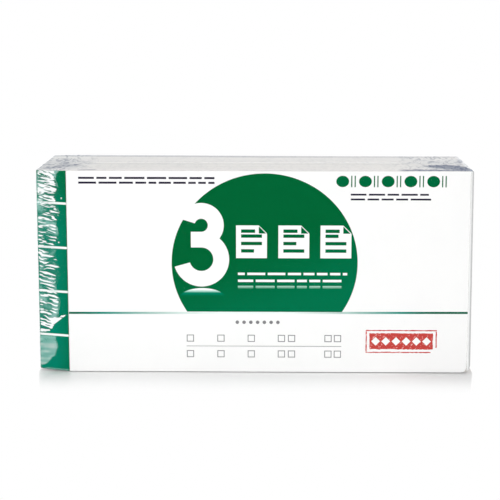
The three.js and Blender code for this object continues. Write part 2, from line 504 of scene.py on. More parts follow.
@dataclass(frozen=True)
class InkFinish:
    """Printing ink that goes from one colour at the top to another at the bottom."""

    name: str
    top: Colour
    bottom: Colour
    top_z: float = 90.0
    bottom_z: float = 27.0
    lean: float = 0.0
    roughness: float = 0.4
    gloss_index: float = 1.05
    patchy: float = 0.0
    patch_scale: float = 900.0
    dry: Colour = ink(243, 200, 196)
    screen_scale: float = 1500.0
    screen_contrast: float = 0.2
    screen_relief: float = 0.000006

    def make(self) -> bpy.types.Material:
        """Mixes the finish.

        Returns:
            Ink with a fine screen of lighter and darker dots.
        """
        film = Recipe(self.name)
        where, x, _, z = film.place()
        dots = film.noise(where, self.screen_scale, 2.0, 0.6)
        leaned = film.math("MULTIPLY_ADD", x, -self.lean, z)
        height = film.step(leaned, self.top_z * MM, self.bottom_z * MM)
        share = film.math("MULTIPLY_ADD", film.math("SUBTRACT", dots, 0.5), self.screen_contrast,
                          height, clamp=True)
        colour = film.blend(share, self.top, self.bottom)
        if self.patchy:
            worn = film.noise(where, self.patch_scale, 3.0, 0.7)
            thin = film.step(worn, 0.62 - 0.1 * self.patchy, 0.82 - 0.2 * self.patchy)
            colour = film.blend(thin, colour, self.dry)
        return film.solid(
            Base_Color=colour,
            Roughness=self.roughness,
            IOR=self.gloss_index,
            Normal=film.bump(dots, self.screen_relief, 0.4),
        )


@dataclass(frozen=True)
class RuleInk:
    """The ink of the rule, which fades from both ends towards the disc."""

    name: str = "fading_rule_ink"
    full: Colour = ink(2, 98, 70)
    half: Colour = ink(0, 142, 124)
    faint: Colour = ink(240, 246, 244)
    centre_x: float = -1.0
    faint_at: float = 10.0
    half_at: float = 74.0
    full_from: float = 60.0
    full_at: float = 82.0
    roughness: float = 0.4
    gloss_index: float = 1.05
    screen_scale: float = 1500.0
    screen_contrast: float = 0.04

    def make(self) -> bpy.types.Material:
        """Mixes the finish.

        Returns:
            Ink that is green at the ends and nearly white by the disc.
        """
        rule = Recipe(self.name)
        where, x, _, _ = rule.place()
        away = rule.math("ABSOLUTE", rule.math("SUBTRACT", x, self.centre_x * MM))
        strength = rule.step(away, self.faint_at * MM, self.half_at * MM)
        dots = rule.noise(where, self.screen_scale, 2.0, 0.6)
        share = rule.math("MULTIPLY_ADD", dots, self.screen_contrast, strength, clamp=True)
        deep = rule.step(away, self.full_from * MM, self.full_at * MM)
        printed = rule.blend(share, self.faint, self.half)
        return rule.solid(
            Base_Color=rule.blend(deep, printed, self.full),
            Roughness=self.roughness,
            IOR=self.gloss_index,
        )


@dataclass(frozen=True)
class SteelFinish:
    """Drawn staple wire."""

    name: str = "staple_wire"
    bright: Colour = ink(205, 207, 210)
    dull: Colour = ink(150, 152, 156)
    drawing_scale: float = 5000.0
    drawing_relief: float = 0.00001
    stain_scale: float = 400.0
    least_roughness: float = 0.18
    more_roughness: float = 0.25

    def make(self) -> bpy.types.Material:
        """Mixes the finish.

        Returns:
            Bright wire with drawing marks and a little tarnish.
        """
        wire = Recipe(self.name)
        drawn = wire.noise(wire.stretched((1.0, 1.0, 0.05)), self.drawing_scale, 2.0)
        stain = wire.step(wire.noise(wire.place()[0], self.stain_scale, 4.0), 0.45, 0.75)
        return wire.solid(
            Base_Color=wire.blend(stain, self.bright, self.dull),
            Metallic=1.0,
            Roughness=wire.math("MULTIPLY_ADD", drawn, self.more_roughness, self.least_roughness),
            Normal=wire.bump(drawn, self.drawing_relief, 0.5),
        )


@dataclass(frozen=True)
class FilmFinish:
    """Clear shrink film. The mesh says where it is slack, and where glare and shade are painted on
    it.
    """

    name: str = "clear_shrink_film"
    # Painted glare colours: white for painted highlights, teal for a painted sheen over the green
    # band.
    glare_white: Colour = ink(248, 250, 250)
    sheen_teal: Colour = ink(188, 250, 240)
    # Colours of painted shade: bluish grey on the level faces, grey on the upright ones.
    level_shade_tint: Colour = ink(136, 144, 163)
    shaded: Colour = ink(150, 150, 149)
    refraction: float = 1.46
    gloss_roughness: float = 0.06
    taut_gloss: float = 0.03
    slack_gloss: float = 0.3
    # The streak settings paint white highlights along the crinkles of slack film.
    streak_length: float = 6.5
    streak_pitch: float = 1.2
    streak_tilt: float = 9.0
    streak_detail: float = 1.8
    streak_white: float = 0.93
    streak_slack: float = 0.28
    streak_from: float = 0.745
    streak_full: float = 0.865
    # The fleck settings paint dark flecks of shade on the level faces.
    fleck_length: float = 2.8
    fleck_depth: float = 8.0
    fleck_dark: float = 0.52
    fleck_from: float = 0.54
    fleck_full: float = 0.34
    # These settings paint a soft sheen of glare in patches where the film is slack.
    sheen_white: float = 0.44
    sheen_least: float = 0.04
    sheen_more: float = 0.8
    sheen_from: float = 0.48
    sheen_full: float = 0.66
    swirl: float = 0.2
    upper_swirl: float = 1.3
    upper_swirl_from: float = 54.0
    upper_swirl_full: float = 82.0
    rib_pitch: float = 1.65
    rib_fall: float = 0.16
    rib_bend: float = 2.6
    rib_strength: float = 0.13
    rib_weak_z: float = 70.0
    rib_full_z: float = 45.0
    bend_size: float = 7.0
    crinkle_depth: float = 0.00012

    def make(self) -> bpy.types.Material:
        """A clear sheet with white highlights painted into its crinkles where it is slack."""
        return FilmRecipe(self).build()


class FilmRecipe(Recipe):
    """The film's material, with the measures that its parts share."""

    def __init__(self, look: FilmFinish) -> None:
        """Starts the material.

        Args:
            look: the finish that it shows.
        """
        super().__init__(look.name)
        self.look = look
        self.where, self.x, _, self.z = self.place()
        # The film's slackness, raised past 1 where a highlight is painted all over.
        self.slack = self.attribute("slack")
        self.flat = self.step(self.level("True Normal"), 0.5, 0.8)
        self.upright = self.math("SUBTRACT", 1.0, self.flat)
        self.bend = self.noise(self.where, 1 / (look.bend_size * MM), 2.0)
        self.crinkles = self.streaks()

    def ribs(self) -> Socket:
        """Even ribs that run in from the ends and bend a little, strongest low down.

        Returns:
            A wave either side of 0.
        """
        look = self.look
        across = self.math("MULTIPLY_ADD", self.x, look.rib_fall, self.z)
        across = self.math("DIVIDE", across, look.rib_pitch * MM)
        phase = self.math("MULTIPLY_ADD", self.bend, look.rib_bend, across)
        wave = self.math("SINE", self.times(phase, math.tau))
        low_down = self.step(self.z, look.rib_weak_z * MM, look.rib_full_z * MM)
        strength = self.math("MULTIPLY_ADD", low_down, 0.7, 0.3)
        return self.times(wave, self.times(strength, look.rib_strength))

    def streaks(self) -> Socket:
        """Long crinkles on the upright faces and short flecks on the level ones.

        Returns:
            A noise from 0 to 1.
        """
        look = self.look
        vectors = []
        for size, tilt in (
            ((look.streak_length, look.streak_length, look.streak_pitch), look.streak_tilt),
            ((look.fleck_length, look.fleck_depth, look.fleck_depth), 0.0),
        ):
            mapping = self.node("ShaderNodeMapping", {"vector_type": "TEXTURE"},
                                Vector=self.where, Scale=[value * MM for value in size],
                                Rotation=(0.0, math.radians(tilt), 0.0))
            vectors.append(mapping.outputs[0])
        both = self.node("ShaderNodeMix", {"data_type": "VECTOR"})
        for number, source in ((0, self.flat), (4, vectors[0]), (5, vectors[1])):
            self.plug(both.inputs[number], source)
        higher = self.step(self.z, look.upper_swirl_from * MM, look.upper_swirl_full * MM)
        swirl = self.math("MULTIPLY_ADD", higher, look.upper_swirl, look.swirl)
        noise = self.noise(both.outputs[1], 1.0, look.streak_detail, 0.5, swirl)
        return self.math("MULTIPLY_ADD", self.ribs(), self.upright, noise)

    def milk(self) -> Socket:
        """How much painted glare covers the film: painted highlights in its streaks, a painted
        sheen, and the glare that the mesh carries.

        Returns:
            0 where it is clear, 1 where it is painted white.
        """
        look = self.look
        loose = self.step(self.slack, 0.05, 0.25)
        # Painted highlights: white along the crinkles of the upright faces where the film is slack.
        raised = self.math("MULTIPLY_ADD", self.slack, look.streak_slack, self.crinkles)
        lifted = self.step(raised, look.streak_from, look.streak_full)
        white = self.times(self.times(lifted, loose), self.upright)
        # Painted sheen: a soft white glare in patches where the film is slack.
        painted_sheen = self.step(self.bend, look.sheen_from, look.sheen_full)
        painted_sheen = self.math("MULTIPLY_ADD", painted_sheen, look.sheen_more, look.sheen_least)
        painted_sheen = self.times(self.times(painted_sheen, loose), look.sheen_white)
        milk = self.math("MAXIMUM", self.attribute("milk"), self.times(white, look.streak_white))
        return self.math("MAXIMUM", milk, painted_sheen)

    def bunch(self) -> Socket:
        """How much painted shade darkens the film: the shade that the mesh carries and dark painted
        flecks on the level faces.

        Returns:
            0 where no shade is painted, 1 where it is darkest.
        """
        look = self.look
        # Dark painted flecks on the level faces where the film is slack.
        fleck = self.times(self.step(self.crinkles, look.fleck_from, look.fleck_full), self.slack)
        fleck = self.times(self.times(fleck, self.flat), look.fleck_dark)
        return self.math("ADD", self.attribute("bunch"), fleck, clamp=True)

    def build(self) -> bpy.types.Material:
        """Lays a clear sheet, its shine and a white cloud of painted glare over each other, with
        painted shade tinting them.

        Returns:
            The material.
        """
        look = self.look
        normal = self.bump(self.times(self.crinkles, self.slack), look.crinkle_depth, 0.8)
        milk, bunch = self.milk(), self.bunch()
        # Painted shade tints the clear film and darkens the white glare.
        dark = self.blend(self.upright, look.level_shade_tint, look.shaded)
        tint = self.blend(bunch, PLAIN_WHITE, dark)
        fresnel = self.node("ShaderNodeFresnel", None, IOR=look.refraction, Normal=normal)
        strength = self.math("MULTIPLY_ADD", self.slack, look.slack_gloss, look.taut_gloss)
        mirrored = self.math("MULTIPLY", fresnel.outputs[0], strength, clamp=True)
        clear = self.shader("ShaderNodeBsdfTransparent", Color=tint)
        shine = self.shader(
            "ShaderNodeBsdfGlossy", Color=tint, Roughness=look.gloss_roughness, Normal=normal)
        # The painted glare is teal over the green band and white past the crease.
        past = self.step(self.x, PACK.crease_x * MM, (PACK.crease_x + 1) * MM)
        whiter = self.math("MAXIMUM", self.step(milk, 0.3, 0.6), past)
        glare_colour = self.blend(whiter, look.sheen_teal, look.glare_white)
        cloud = self.shader("ShaderNodeBsdfDiffuse", Color=self.blend(bunch, glare_colour, dark))
        return self.finish(self.mixed(milk, self.mixed(mirrored, clear, shine), cloud))


def plain_ink(name: str, red: int, green: int, blue: int) -> bpy.types.Material:
    """Ink of one screen colour."""
    return InkFinish(name, ink(red, green, blue), ink(red, green, blue)).make()


class Finishes:
    """Every material of the pack, made once."""

    def __init__(self) -> None:
        """Makes them all."""
        self.card = CardFinish().make()
        self.film = FilmFinish().make()
        self.steel = SteelFinish().make()
        self.paper = {
            Copy.WHITE: PaperFinish("white_copy_paper", ink(247, 247, 243)).make(),
            Copy.PINK: PaperFinish("pink_copy_paper", ink(242, 190, 201)).make(),
            Copy.YELLOW: PaperFinish("yellow_copy_paper", ink(246, 228, 150)).make(),
        }
        self.disc = InkFinish("disc_ink", ink(0, 96, 50), ink(1, 111, 73), top_z=62.0,
                              bottom_z=18.0, lean=0.35).make()
        self.white_ink = InkFinish("white_ink", ink(247, 247, 246), ink(245, 246, 245)).make()
        self.glint = InkFinish(
            "glint_ink", ink(250, 252, 251), ink(120, 190, 170), top_z=37.7, bottom_z=36.2).make()
        self.glow = InkFinish(
            "glow_ink", ink(0, 126, 98), ink(1, 104, 62), top_z=36.2, bottom_z=34.2).make()
        self.faint_ink = InkFinish(
            "faint_ink", ink(170, 212, 194), ink(20, 120, 84), top_z=39.4, bottom_z=37.6).make()
        self.seal_ink = InkFinish(
            "seal_ink", ink(200, 77, 71), ink(195, 71, 66), patchy=0.55).make()
        self.dark_ink = plain_ink("dark_ink", 44, 40, 58)
        self.grey_ink = plain_ink("grey_ink", 128, 128, 130)
        self.ornament_ink = plain_ink("ornament_ink", 0, 101, 58)
        self.form_ink = plain_ink("form_ink", 70, 120, 110)
        self.rule_ink = RuleInk().make()


def add_mesh(name: str, points: np.ndarray, faces: Sequence[Sequence[int]],
             material: bpy.types.Material, rounded: bool = True) -> bpy.types.Object:
    """Makes an object at the origin from points in millimetres.

    Args:
        name: the piece's name.
        points: one row for each point.
        faces: the point numbers of each face.
        material: its finish.
        rounded: whether faces are shaded as one smooth surface.

    Returns:
        The new object.
    """
    mesh = bpy.data.meshes.new(name)
    mesh.from_pydata((np.asarray(points, float) * MM).tolist(), [], [list(f) for f in faces])
    mesh.update()
    mesh.polygons.foreach_set("use_smooth", [rounded] * len(mesh.polygons))
    mesh.materials.append(material)
    made = bpy.data.objects.new(name, mesh)
    bpy.context.scene.collection.objects.link(made)
    return made


def settle(piece: bpy.types.Object, body: Body, slot: Slot, *nodes: str) -> bpy.types.Object:
    """Puts a piece on its body, hides the solids that it stands for and reports it.

    Args:
        piece: the finished piece.
        body: what it moves with.
        slot: the record's finish; not used.
        nodes: the solids that it stands for.

    Returns:
        The same piece.
    """
    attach(piece, body.value)
    if nodes:
        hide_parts(*nodes)
    LOG.info("%s: %d faces on %s", piece.name, len(piece.data.polygons), body.value)
    return piece


class Ripple:
    """A seeded, smooth, irregular height over two directions."""

    def __init__(self, seed: int, cells: int = 97) -> None:
        """Draws the heights that the ripple passes through."""
        self.cells = cells
        self.heights = np.random.default_rng(seed).uniform(-1, 1, (cells, cells))

    def at(self, across: np.ndarray, along: np.ndarray) -> np.ndarray:
        """Reads the ripple.

        Args:
            across: places along the first direction, counted in waves.
            along: places along the second.

        Returns:
            The height there, from -1 to 1.
        """
        column, row = np.floor(across).astype(int), np.floor(along).astype(int)
        u, v = across - column, along - row
        u, v = u * u * (3 - 2 * u), v * v * (3 - 2 * v)
        left, right = column % self.cells, (column + 1) % self.cells
        low, high = row % self.cells, (row + 1) % self.cells
        under = self.heights[left, low] * (1 - u) + self.heights[right, low] * u
        over = self.heights[left, high] * (1 - u) + self.heights[right, high] * u
        return under * (1 - v) + over * v


@dataclass
class ShrinkFilm:
    """The film round the pack: the wrap, its welds and the slit front flap."""

    left: float = -96.0
    right: float = 95.7
    right_top: float = 95.7
    right_low: float = 96.1
    bottom: float = 0.02
    top: float = 90.42
    half_depth: float = 30.31
    limit_x: float = 96.1
    limit_y: float = 30.37
    limit_z: float = 90.7
    spine_recess: float = 2.15
    back_dip: float = 0.22
    back_rise: float = 0.22
    spine_curve: float = 1.9
    edge_radius: float = 0.7
    corner_radius: float = 3.7
    slit_x: float = -82.5
    flap_bottom: float = 0.1
    flap_top: float = 90.2
    flap_ahead: float = 0.03
    flap_roll: float = 0.6
    weld_width: float = 0.6
    weld_height: float = 0.4
    weld_from_end: float = 4.0
    weld_top: float = 86.3
    weld_steps: tuple[float, ...] = (0.0, 0.12, 0.24, 0.36, 0.5, 0.9)
    rib_height: float = 0.11
    rib_pitch: float = 1.25
    weld_band: float = 0.45
    weld_lines: int = 7
    half_top_lines: int = 48
    front_lines: int = 300
    back_lines: int = 64
    bottom_lines: int = 42
    end_rings: int = 26
    rings_from_middle: float = 1.9
    strip_stations: int = 36
    middle_stations: int = 142
    corner_stations: int = 8
    edge_steps: int = 4
    lean_width: float = 12.0
    flap_stations: int = 150
    flap_corner_stations: int = 14
    flap_lines: int = 91

    def half_depth_at(self, x: np.ndarray) -> np.ndarray:
        """Half of the wrapped depth at x, less towards the spines."""
        share = np.clip((PACK.crease_x - np.asarray(x, float)) / (PACK.crease_x - self.left), 0, 1)
        return self.half_depth - self.spine_recess * share**self.spine_curve

    def bottom_at(self, x: np.ndarray) -> np.ndarray:
        """The film's lowest height at x, raised at the spines and at the rubbed fore-edge."""
        share = np.clip((PACK.crease_x - np.asarray(x, float)) / PACK.margin, 0, 1)
        return self.bottom + PACK.spine_lift * share + rubbed(x, self.right, self.corner_radius)

    def right_at(self, z: np.ndarray) -> np.ndarray:
        """The film's fore-edge end at a height; it leans out towards the bottom."""
        share = np.clip(np.asarray(z, float) / self.top, 0, 1)
        return self.right_low + (self.right_top - self.right_low) * share

    def lean(self, x: np.ndarray, z: np.ndarray) -> np.ndarray:
        """Where x goes when the fore-edge end leans."""
        share = smooth(self.right - self.lean_width, self.right, x)
        return x + (self.right_at(z) - self.right) * share

    def path(self) -> tuple[np.ndarray, np.ndarray]:
        """The stations from the middle of the spine end to the middle of the fore-edge end.

        Returns:
            The x of each station, and how far its outline is drawn in.
        """
        radius = self.edge_radius
        deep = self.half_depth - self.spine_recess
        start, from_weld = self.rings_from_middle, np.array(self.weld_steps)
        rings = np.concatenate([deep - from_weld,
                                np.linspace(deep - start, radius, self.end_rings)])
        turn = np.linspace(math.pi / 2, 0, self.edge_steps + 2)[1:-1]
        strip = np.linspace(self.left + radius, self.slit_x, self.strip_stations)
        straight_end = self.right - self.corner_radius
        middle = np.linspace(self.slit_x, straight_end, self.middle_stations)[1:]
        bend = np.linspace(0, math.asin(1 - radius / self.corner_radius), self.corner_stations)[1:]
        corner = straight_end + self.corner_radius * np.sin(bend)
        far_rings = np.concatenate([np.linspace(radius, self.half_depth - start, self.end_rings),
                                    self.half_depth - from_weld[::-1]])
        x = np.concatenate([
            np.full(len(rings), self.left),
            self.left + radius * (1 - np.sin(turn)),
            strip, middle, corner,
            self.right - radius * (1 - np.sin(turn[::-1])),
            np.full(len(far_rings), self.right),
        ])
        inset = np.concatenate([
            rings,
            radius * (1 - np.cos(turn)),
            np.zeros(len(strip) + len(middle) + len(corner)),
            radius * (1 - np.cos(turn[::-1])),
            far_rings,
        ])
        return x, inset

    def girth(self) -> np.ndarray:
        """The lines that run along the film, in order round the pack from the front's lower edge.

        Returns:
            One row for each line: where it leans, from -1 at the front to 1 at the back, how far it
            climbs, from 0 at the bottom to 1 at the top, and the y and z of its outward direction.
        """
        by_weld = np.linspace(-self.weld_band, self.weld_band, self.weld_lines) / self.half_depth
        outer = np.linspace(-1, by_weld[0], self.half_top_lines)[:-1]
        across_top = np.concatenate([outer, by_weld, -outer[::-1]])
        arc_steps = np.linspace(0, math.pi / 2, self.edge_steps + 2)[1:-1]
        return np.array([
            *[(-1, climb, -1, 0) for climb in np.linspace(0, 1, self.front_lines)],
            *[(-1, 1, -math.cos(angle), math.sin(angle)) for angle in arc_steps],
            *[(lean, 1, 0, 1) for lean in across_top],
            *[(1, 1, math.sin(angle), math.cos(angle)) for angle in arc_steps],
            *[(1, climb, 1, 0) for climb in np.linspace(1, 0, self.back_lines)],
            *[(1, 0, math.cos(angle), -math.sin(angle)) for angle in arc_steps],
            *[(lean, 0, 0, -1) for lean in np.linspace(1, -1, self.bottom_lines)],
            *[(-1, 0, -math.sin(angle), -math.cos(angle)) for angle in arc_steps],
        ], float)

    def wrap(self, finish: bpy.types.Material) -> bpy.types.Object:
        """The film round the whole pack but for its front flap.

        Args:
            finish: the film's material.

        Returns:
            The piece.
        """
        x, inset = self.path()
        lean, climb, out_y, out_z = self.girth().T
        radius = np.clip(self.edge_radius - inset, 0, None)[:, None]
        depth = (self.half_depth_at(x) - inset)[:, None].clip(0)
        low = (self.bottom_at(x) + inset)[:, None]
        high = (self.top - inset)[:, None]
        y = lean * (depth - radius).clip(0) + radius * out_y
        z = low + radius + climb * (high - low - 2 * radius) + radius * out_z
        points = np.stack([np.broadcast_to(x[:, None], y.shape), y, z], axis=-1)
        count = len(lean)
        rows, columns = np.meshgrid(np.arange(len(x) - 1), np.arange(count), indexing="ij")
        beside = (columns + 1) % count
        faces = np.stack([rows * count + columns, rows * count + beside,
                          (rows + 1) * count + beside, (rows + 1) * count + columns], axis=-1)
        in_flap = (x[:-1] > self.slit_x - 0.01) & (inset[:-1] < 0.01) & (inset[1:] < 0.01)
        on_front = (lean == -1) & (out_y < -0.8)
        keep = ~(in_flap[:, None] & (on_front & np.roll(on_front, -1))[None, :])
        piece = add_mesh("film_around_pack", points.reshape(-1, 3), faces[keep].tolist(), finish)
        outward(piece, joined=True)
        self.crinkle(piece)
        return settle(piece, Body.STACK, Slot.FILM, "film_wrap")

    def crinkle(self, piece: bpy.types.Object) -> None:
        """Wrinkles a film piece along its normals and writes what its finish reads.

        Args:
            piece: the smooth film, whose mesh is changed.
        """
        mesh = piece.data
        count = len(mesh.vertices)
        where = np.zeros(count * 3)
        mesh.vertices.foreach_get("co", where)
        where = where.reshape(-1, 3) / MM
        normal = np.zeros(count * 3, np.float32)
        mesh.vertex_normals.foreach_get("vector", normal)
        normal = normal.reshape(-1, 3)
        leaned = np.stack([self.lean(where[:, 0], where[:, 2]), where[:, 1], where[:, 2]], axis=1)
        height, slack, milk, bunch = WrinkleMap(self, leaned, normal).read()
        x, y, z = (where + normal * height[:, None]).T
        x = self.lean(x, z).clip(-self.limit_x, self.limit_x)
        tilt = self.back_rise * smooth(20, -90, x) - self.back_dip * smooth(-40, 80, x)
        z = (z + tilt * smooth(0, 30, y) * smooth(0.3, 0.8, normal[:, 2])).clip(0.0, self.limit_z)
        y = y.clip(-self.limit_y, self.limit_y)
        mesh.vertices.foreach_set("co", (np.stack([x, y, z], axis=1) * MM).ravel())
        mesh.update()
        for name, values in (("slack", slack), ("milk", milk), ("bunch", bunch)):
            layer = mesh.attributes.new(name, "FLOAT", "POINT")
            layer.data.foreach_set("value", values.astype(np.float32))

    def flap(self, finish: bpy.types.Material) -> bpy.types.Object:
        """The film's slit front, which folds open ahead of the cover.

        Args:
            finish: the film's material.

        Returns:
            The piece.
        """
        corner = self.right - self.corner_radius
        bend = np.linspace(0, math.pi / 2, self.flap_corner_stations)[1:]
        across = np.concatenate([np.linspace(self.slit_x, corner, self.flap_stations),
                                 corner + self.corner_radius * np.sin(bend)])
        climb = np.linspace(0, 1, self.flap_lines)
        low = self.flap_bottom + rubbed(across, self.right, self.corner_radius)
        z = low[:, None] + (self.flap_top - low)[:, None] * climb[None, :]
        x = np.broadcast_to(across[:, None], z.shape)
        roll = np.clip(across - (self.right - self.flap_roll), 0, None)
        front = -self.half_depth - self.flap_ahead + roll**2 * 0.1
        y = np.broadcast_to(front[:, None], z.shape)
        points = np.stack([x, y, z], axis=-1).reshape(-1, 3)
        count = len(climb)
        rows, columns = np.meshgrid(np.arange(len(across) - 1), np.arange(count - 1), indexing="ij")
        first = rows * count + columns
        faces = np.stack([first, first + count, first + count + 1, first + 1], axis=-1)
        piece = add_mesh("film_flap", points, faces.reshape(-1, 4).tolist(), finish)
        self.crinkle(piece)
        return settle(piece, Body.FLAP, Slot.FILM, "film_front_flap")


def between(value: np.ndarray, low: np.ndarray, high: np.ndarray, soft: float) -> np.ndarray:
    """Is 1 where value lies between low and high, with soft edges."""
    return smooth(-soft / 2, soft / 2, value - low) * smooth(-soft / 2, soft / 2, high - value)


def follow(value: np.ndarray, line: Line) -> np.ndarray:
    """Reads a line of stations at each value."""
    stations = sorted(line)
    return np.interp(value, [s[0] for s in stations], [s[1] for s in stations])


@dataclass(frozen=True)
class FilmMarks:
    """Places of the film's larger folds, its painted bright patches and its painted shade, in
    millimetres, and their strengths.

    A line is a row of stations. A fold's line gives y at each x, a line named right gives x at each
    z, and a line named high or low gives z at each x. A span says where something fades in, or
    from where to where it lies.
    """

    strip_edge: float = -87.2
    patch_right: Line = ((83.2, -87.2), (86.0, -86.9), (90.0, -86.1))
    patch_low: float = 83.2
    swoosh_high: Line = ((-83.5, 25.9), (-85.5, 25.4), (-87.7, 24.5), (-90.3, 24.2), (-95.8, 24.6))
    swoosh_low: Line = ((-83.5, 25.7), (-85.5, 24.2), (-87.8, 22.4), (-89.1, 21.4), (-89.8, 19.8),
                        (-91.4, 18.2), (-93.7, 17.3), (-95.6, 17.9))
    lobe_right: Line = ((2.5, -95.6), (2.7, -94.0), (3.4, -92.7), (4.9, -91.2), (6.3, -90.4),
                        (7.1, -88.9), (9.2, -88.4), (11.0, -87.6), (12.5, -87.9), (14.0, -88.5),
                        (15.7, -88.4))
    lobe_top: float = 16.0
    lower_fold_rise: float = 0.5
    lower_fold_slope: float = 0.9
    lower_fold_span: Span = (-93.5, -83.0)
    strip_low: float = 16.9
    strip_start: Span = (-95.7, -95.1)
    patch_start: Span = (-95.0, -91.5)
    swoosh_end: float = -83.4
    swoosh_start: Span = (-92.0, -89.5)
    end_span: Span = (17.0, 33.0)
    right_fold_start: Span = (73.0, 80.0)
    left_fold_start: Span = (-94.5, -92.5)
    left_fold_end: Span = (-76.0, -81.0)
    rim_front: Span = (-30.2, -28.8)
    rim_back: Span = (-25.5, -27.0)
    right_rim: Span = (64.0, 94.5)
    left_rim: Span = (-75.6, -69.5)
    back_start: Span = (21.5, 24.0)
    back_lightens: Span = (-10.0, 50.0)
    left_end: Span = (-74.0, -84.0)
    right_end: Span = (62.0, 80.0)
    ends_span: Span = (-26.0, 12.0)
    seam_span: Span = (-8.0, -3.5)
    edge_end: Span = (1.4, 0.1)
    long_crease: float = 0.05
    short_crease: float = 0.02
    front_ripple: float = 0.035
    front_inset: float = 0.03
    weld_sunk: float = 0.15
    end_slack: float = 0.62
    level_slack: float = 0.16
    level_end_slack: float = 0.75
    # These strengths paint bright patches of glare on the margin.
    patch_glare: float = 0.36
    swoosh_glare: float = 1.2
    swoosh_more_glare: float = 0.7
    spot_glare: float = 1.5
    band_glare: float = 0.92
    level_sheen: float = 0.69
    lobe_glare: float = 0.4
    lobe_mottle: float = 0.13
    glint_white: float = 0.4
    end_glare: float = 0.06
    # These strengths paint shade and reflection onto the film's top and its fore-edge end.
    right_fold_dark: float = 0.76
    left_fold_dark: float = 0.45
    right_rim_dark: float = 0.85
    left_rim_dark: float = 0.45
    back_dark: float = 0.27
    back_lighter: float = 0.12
    left_end_dark: float = 0.15
    right_end_dark: float = 0.11
    seam_dark: float = 0.08
    crease_dark: float = 0.06
    edge_dark: float = 0.66
    right_fold_back: Line = ((74.0, -11.0), (81.6, -7.8), (85.6, -7.2), (89.9, -9.4),
                             (92.7, -13.4), (94.2, -17.3), (95.5, -26.0))
    right_fold_front: Line = ((74.0, -14.0), (79.0, -17.0), (84.4, -23.5), (88.6, -27.0),
                              (91.4, -29.5), (95.5, -31.0))
    left_fold_back: Line = ((-94.0, -24.5), (-91.6, -17.6), (-89.7, -13.0), (-86.9, -8.9),
                            (-83.2, -7.1), (-79.5, -6.0))
    left_fold_front: Line = ((-94.0, -27.0), (-89.2, -24.9), (-85.3, -20.4), (-82.0, -16.3),
                             (-77.0, -14.0))
    spots: tuple[tuple[float, float, float], ...] = (
        (-84.7, 77.9, 0.36), (-86.25, 70.5, 0.45), (-88.6, 69.5, 0.9), (-86.2, 58.4, 0.42),
        (-91.8, 79.2, 1.1))


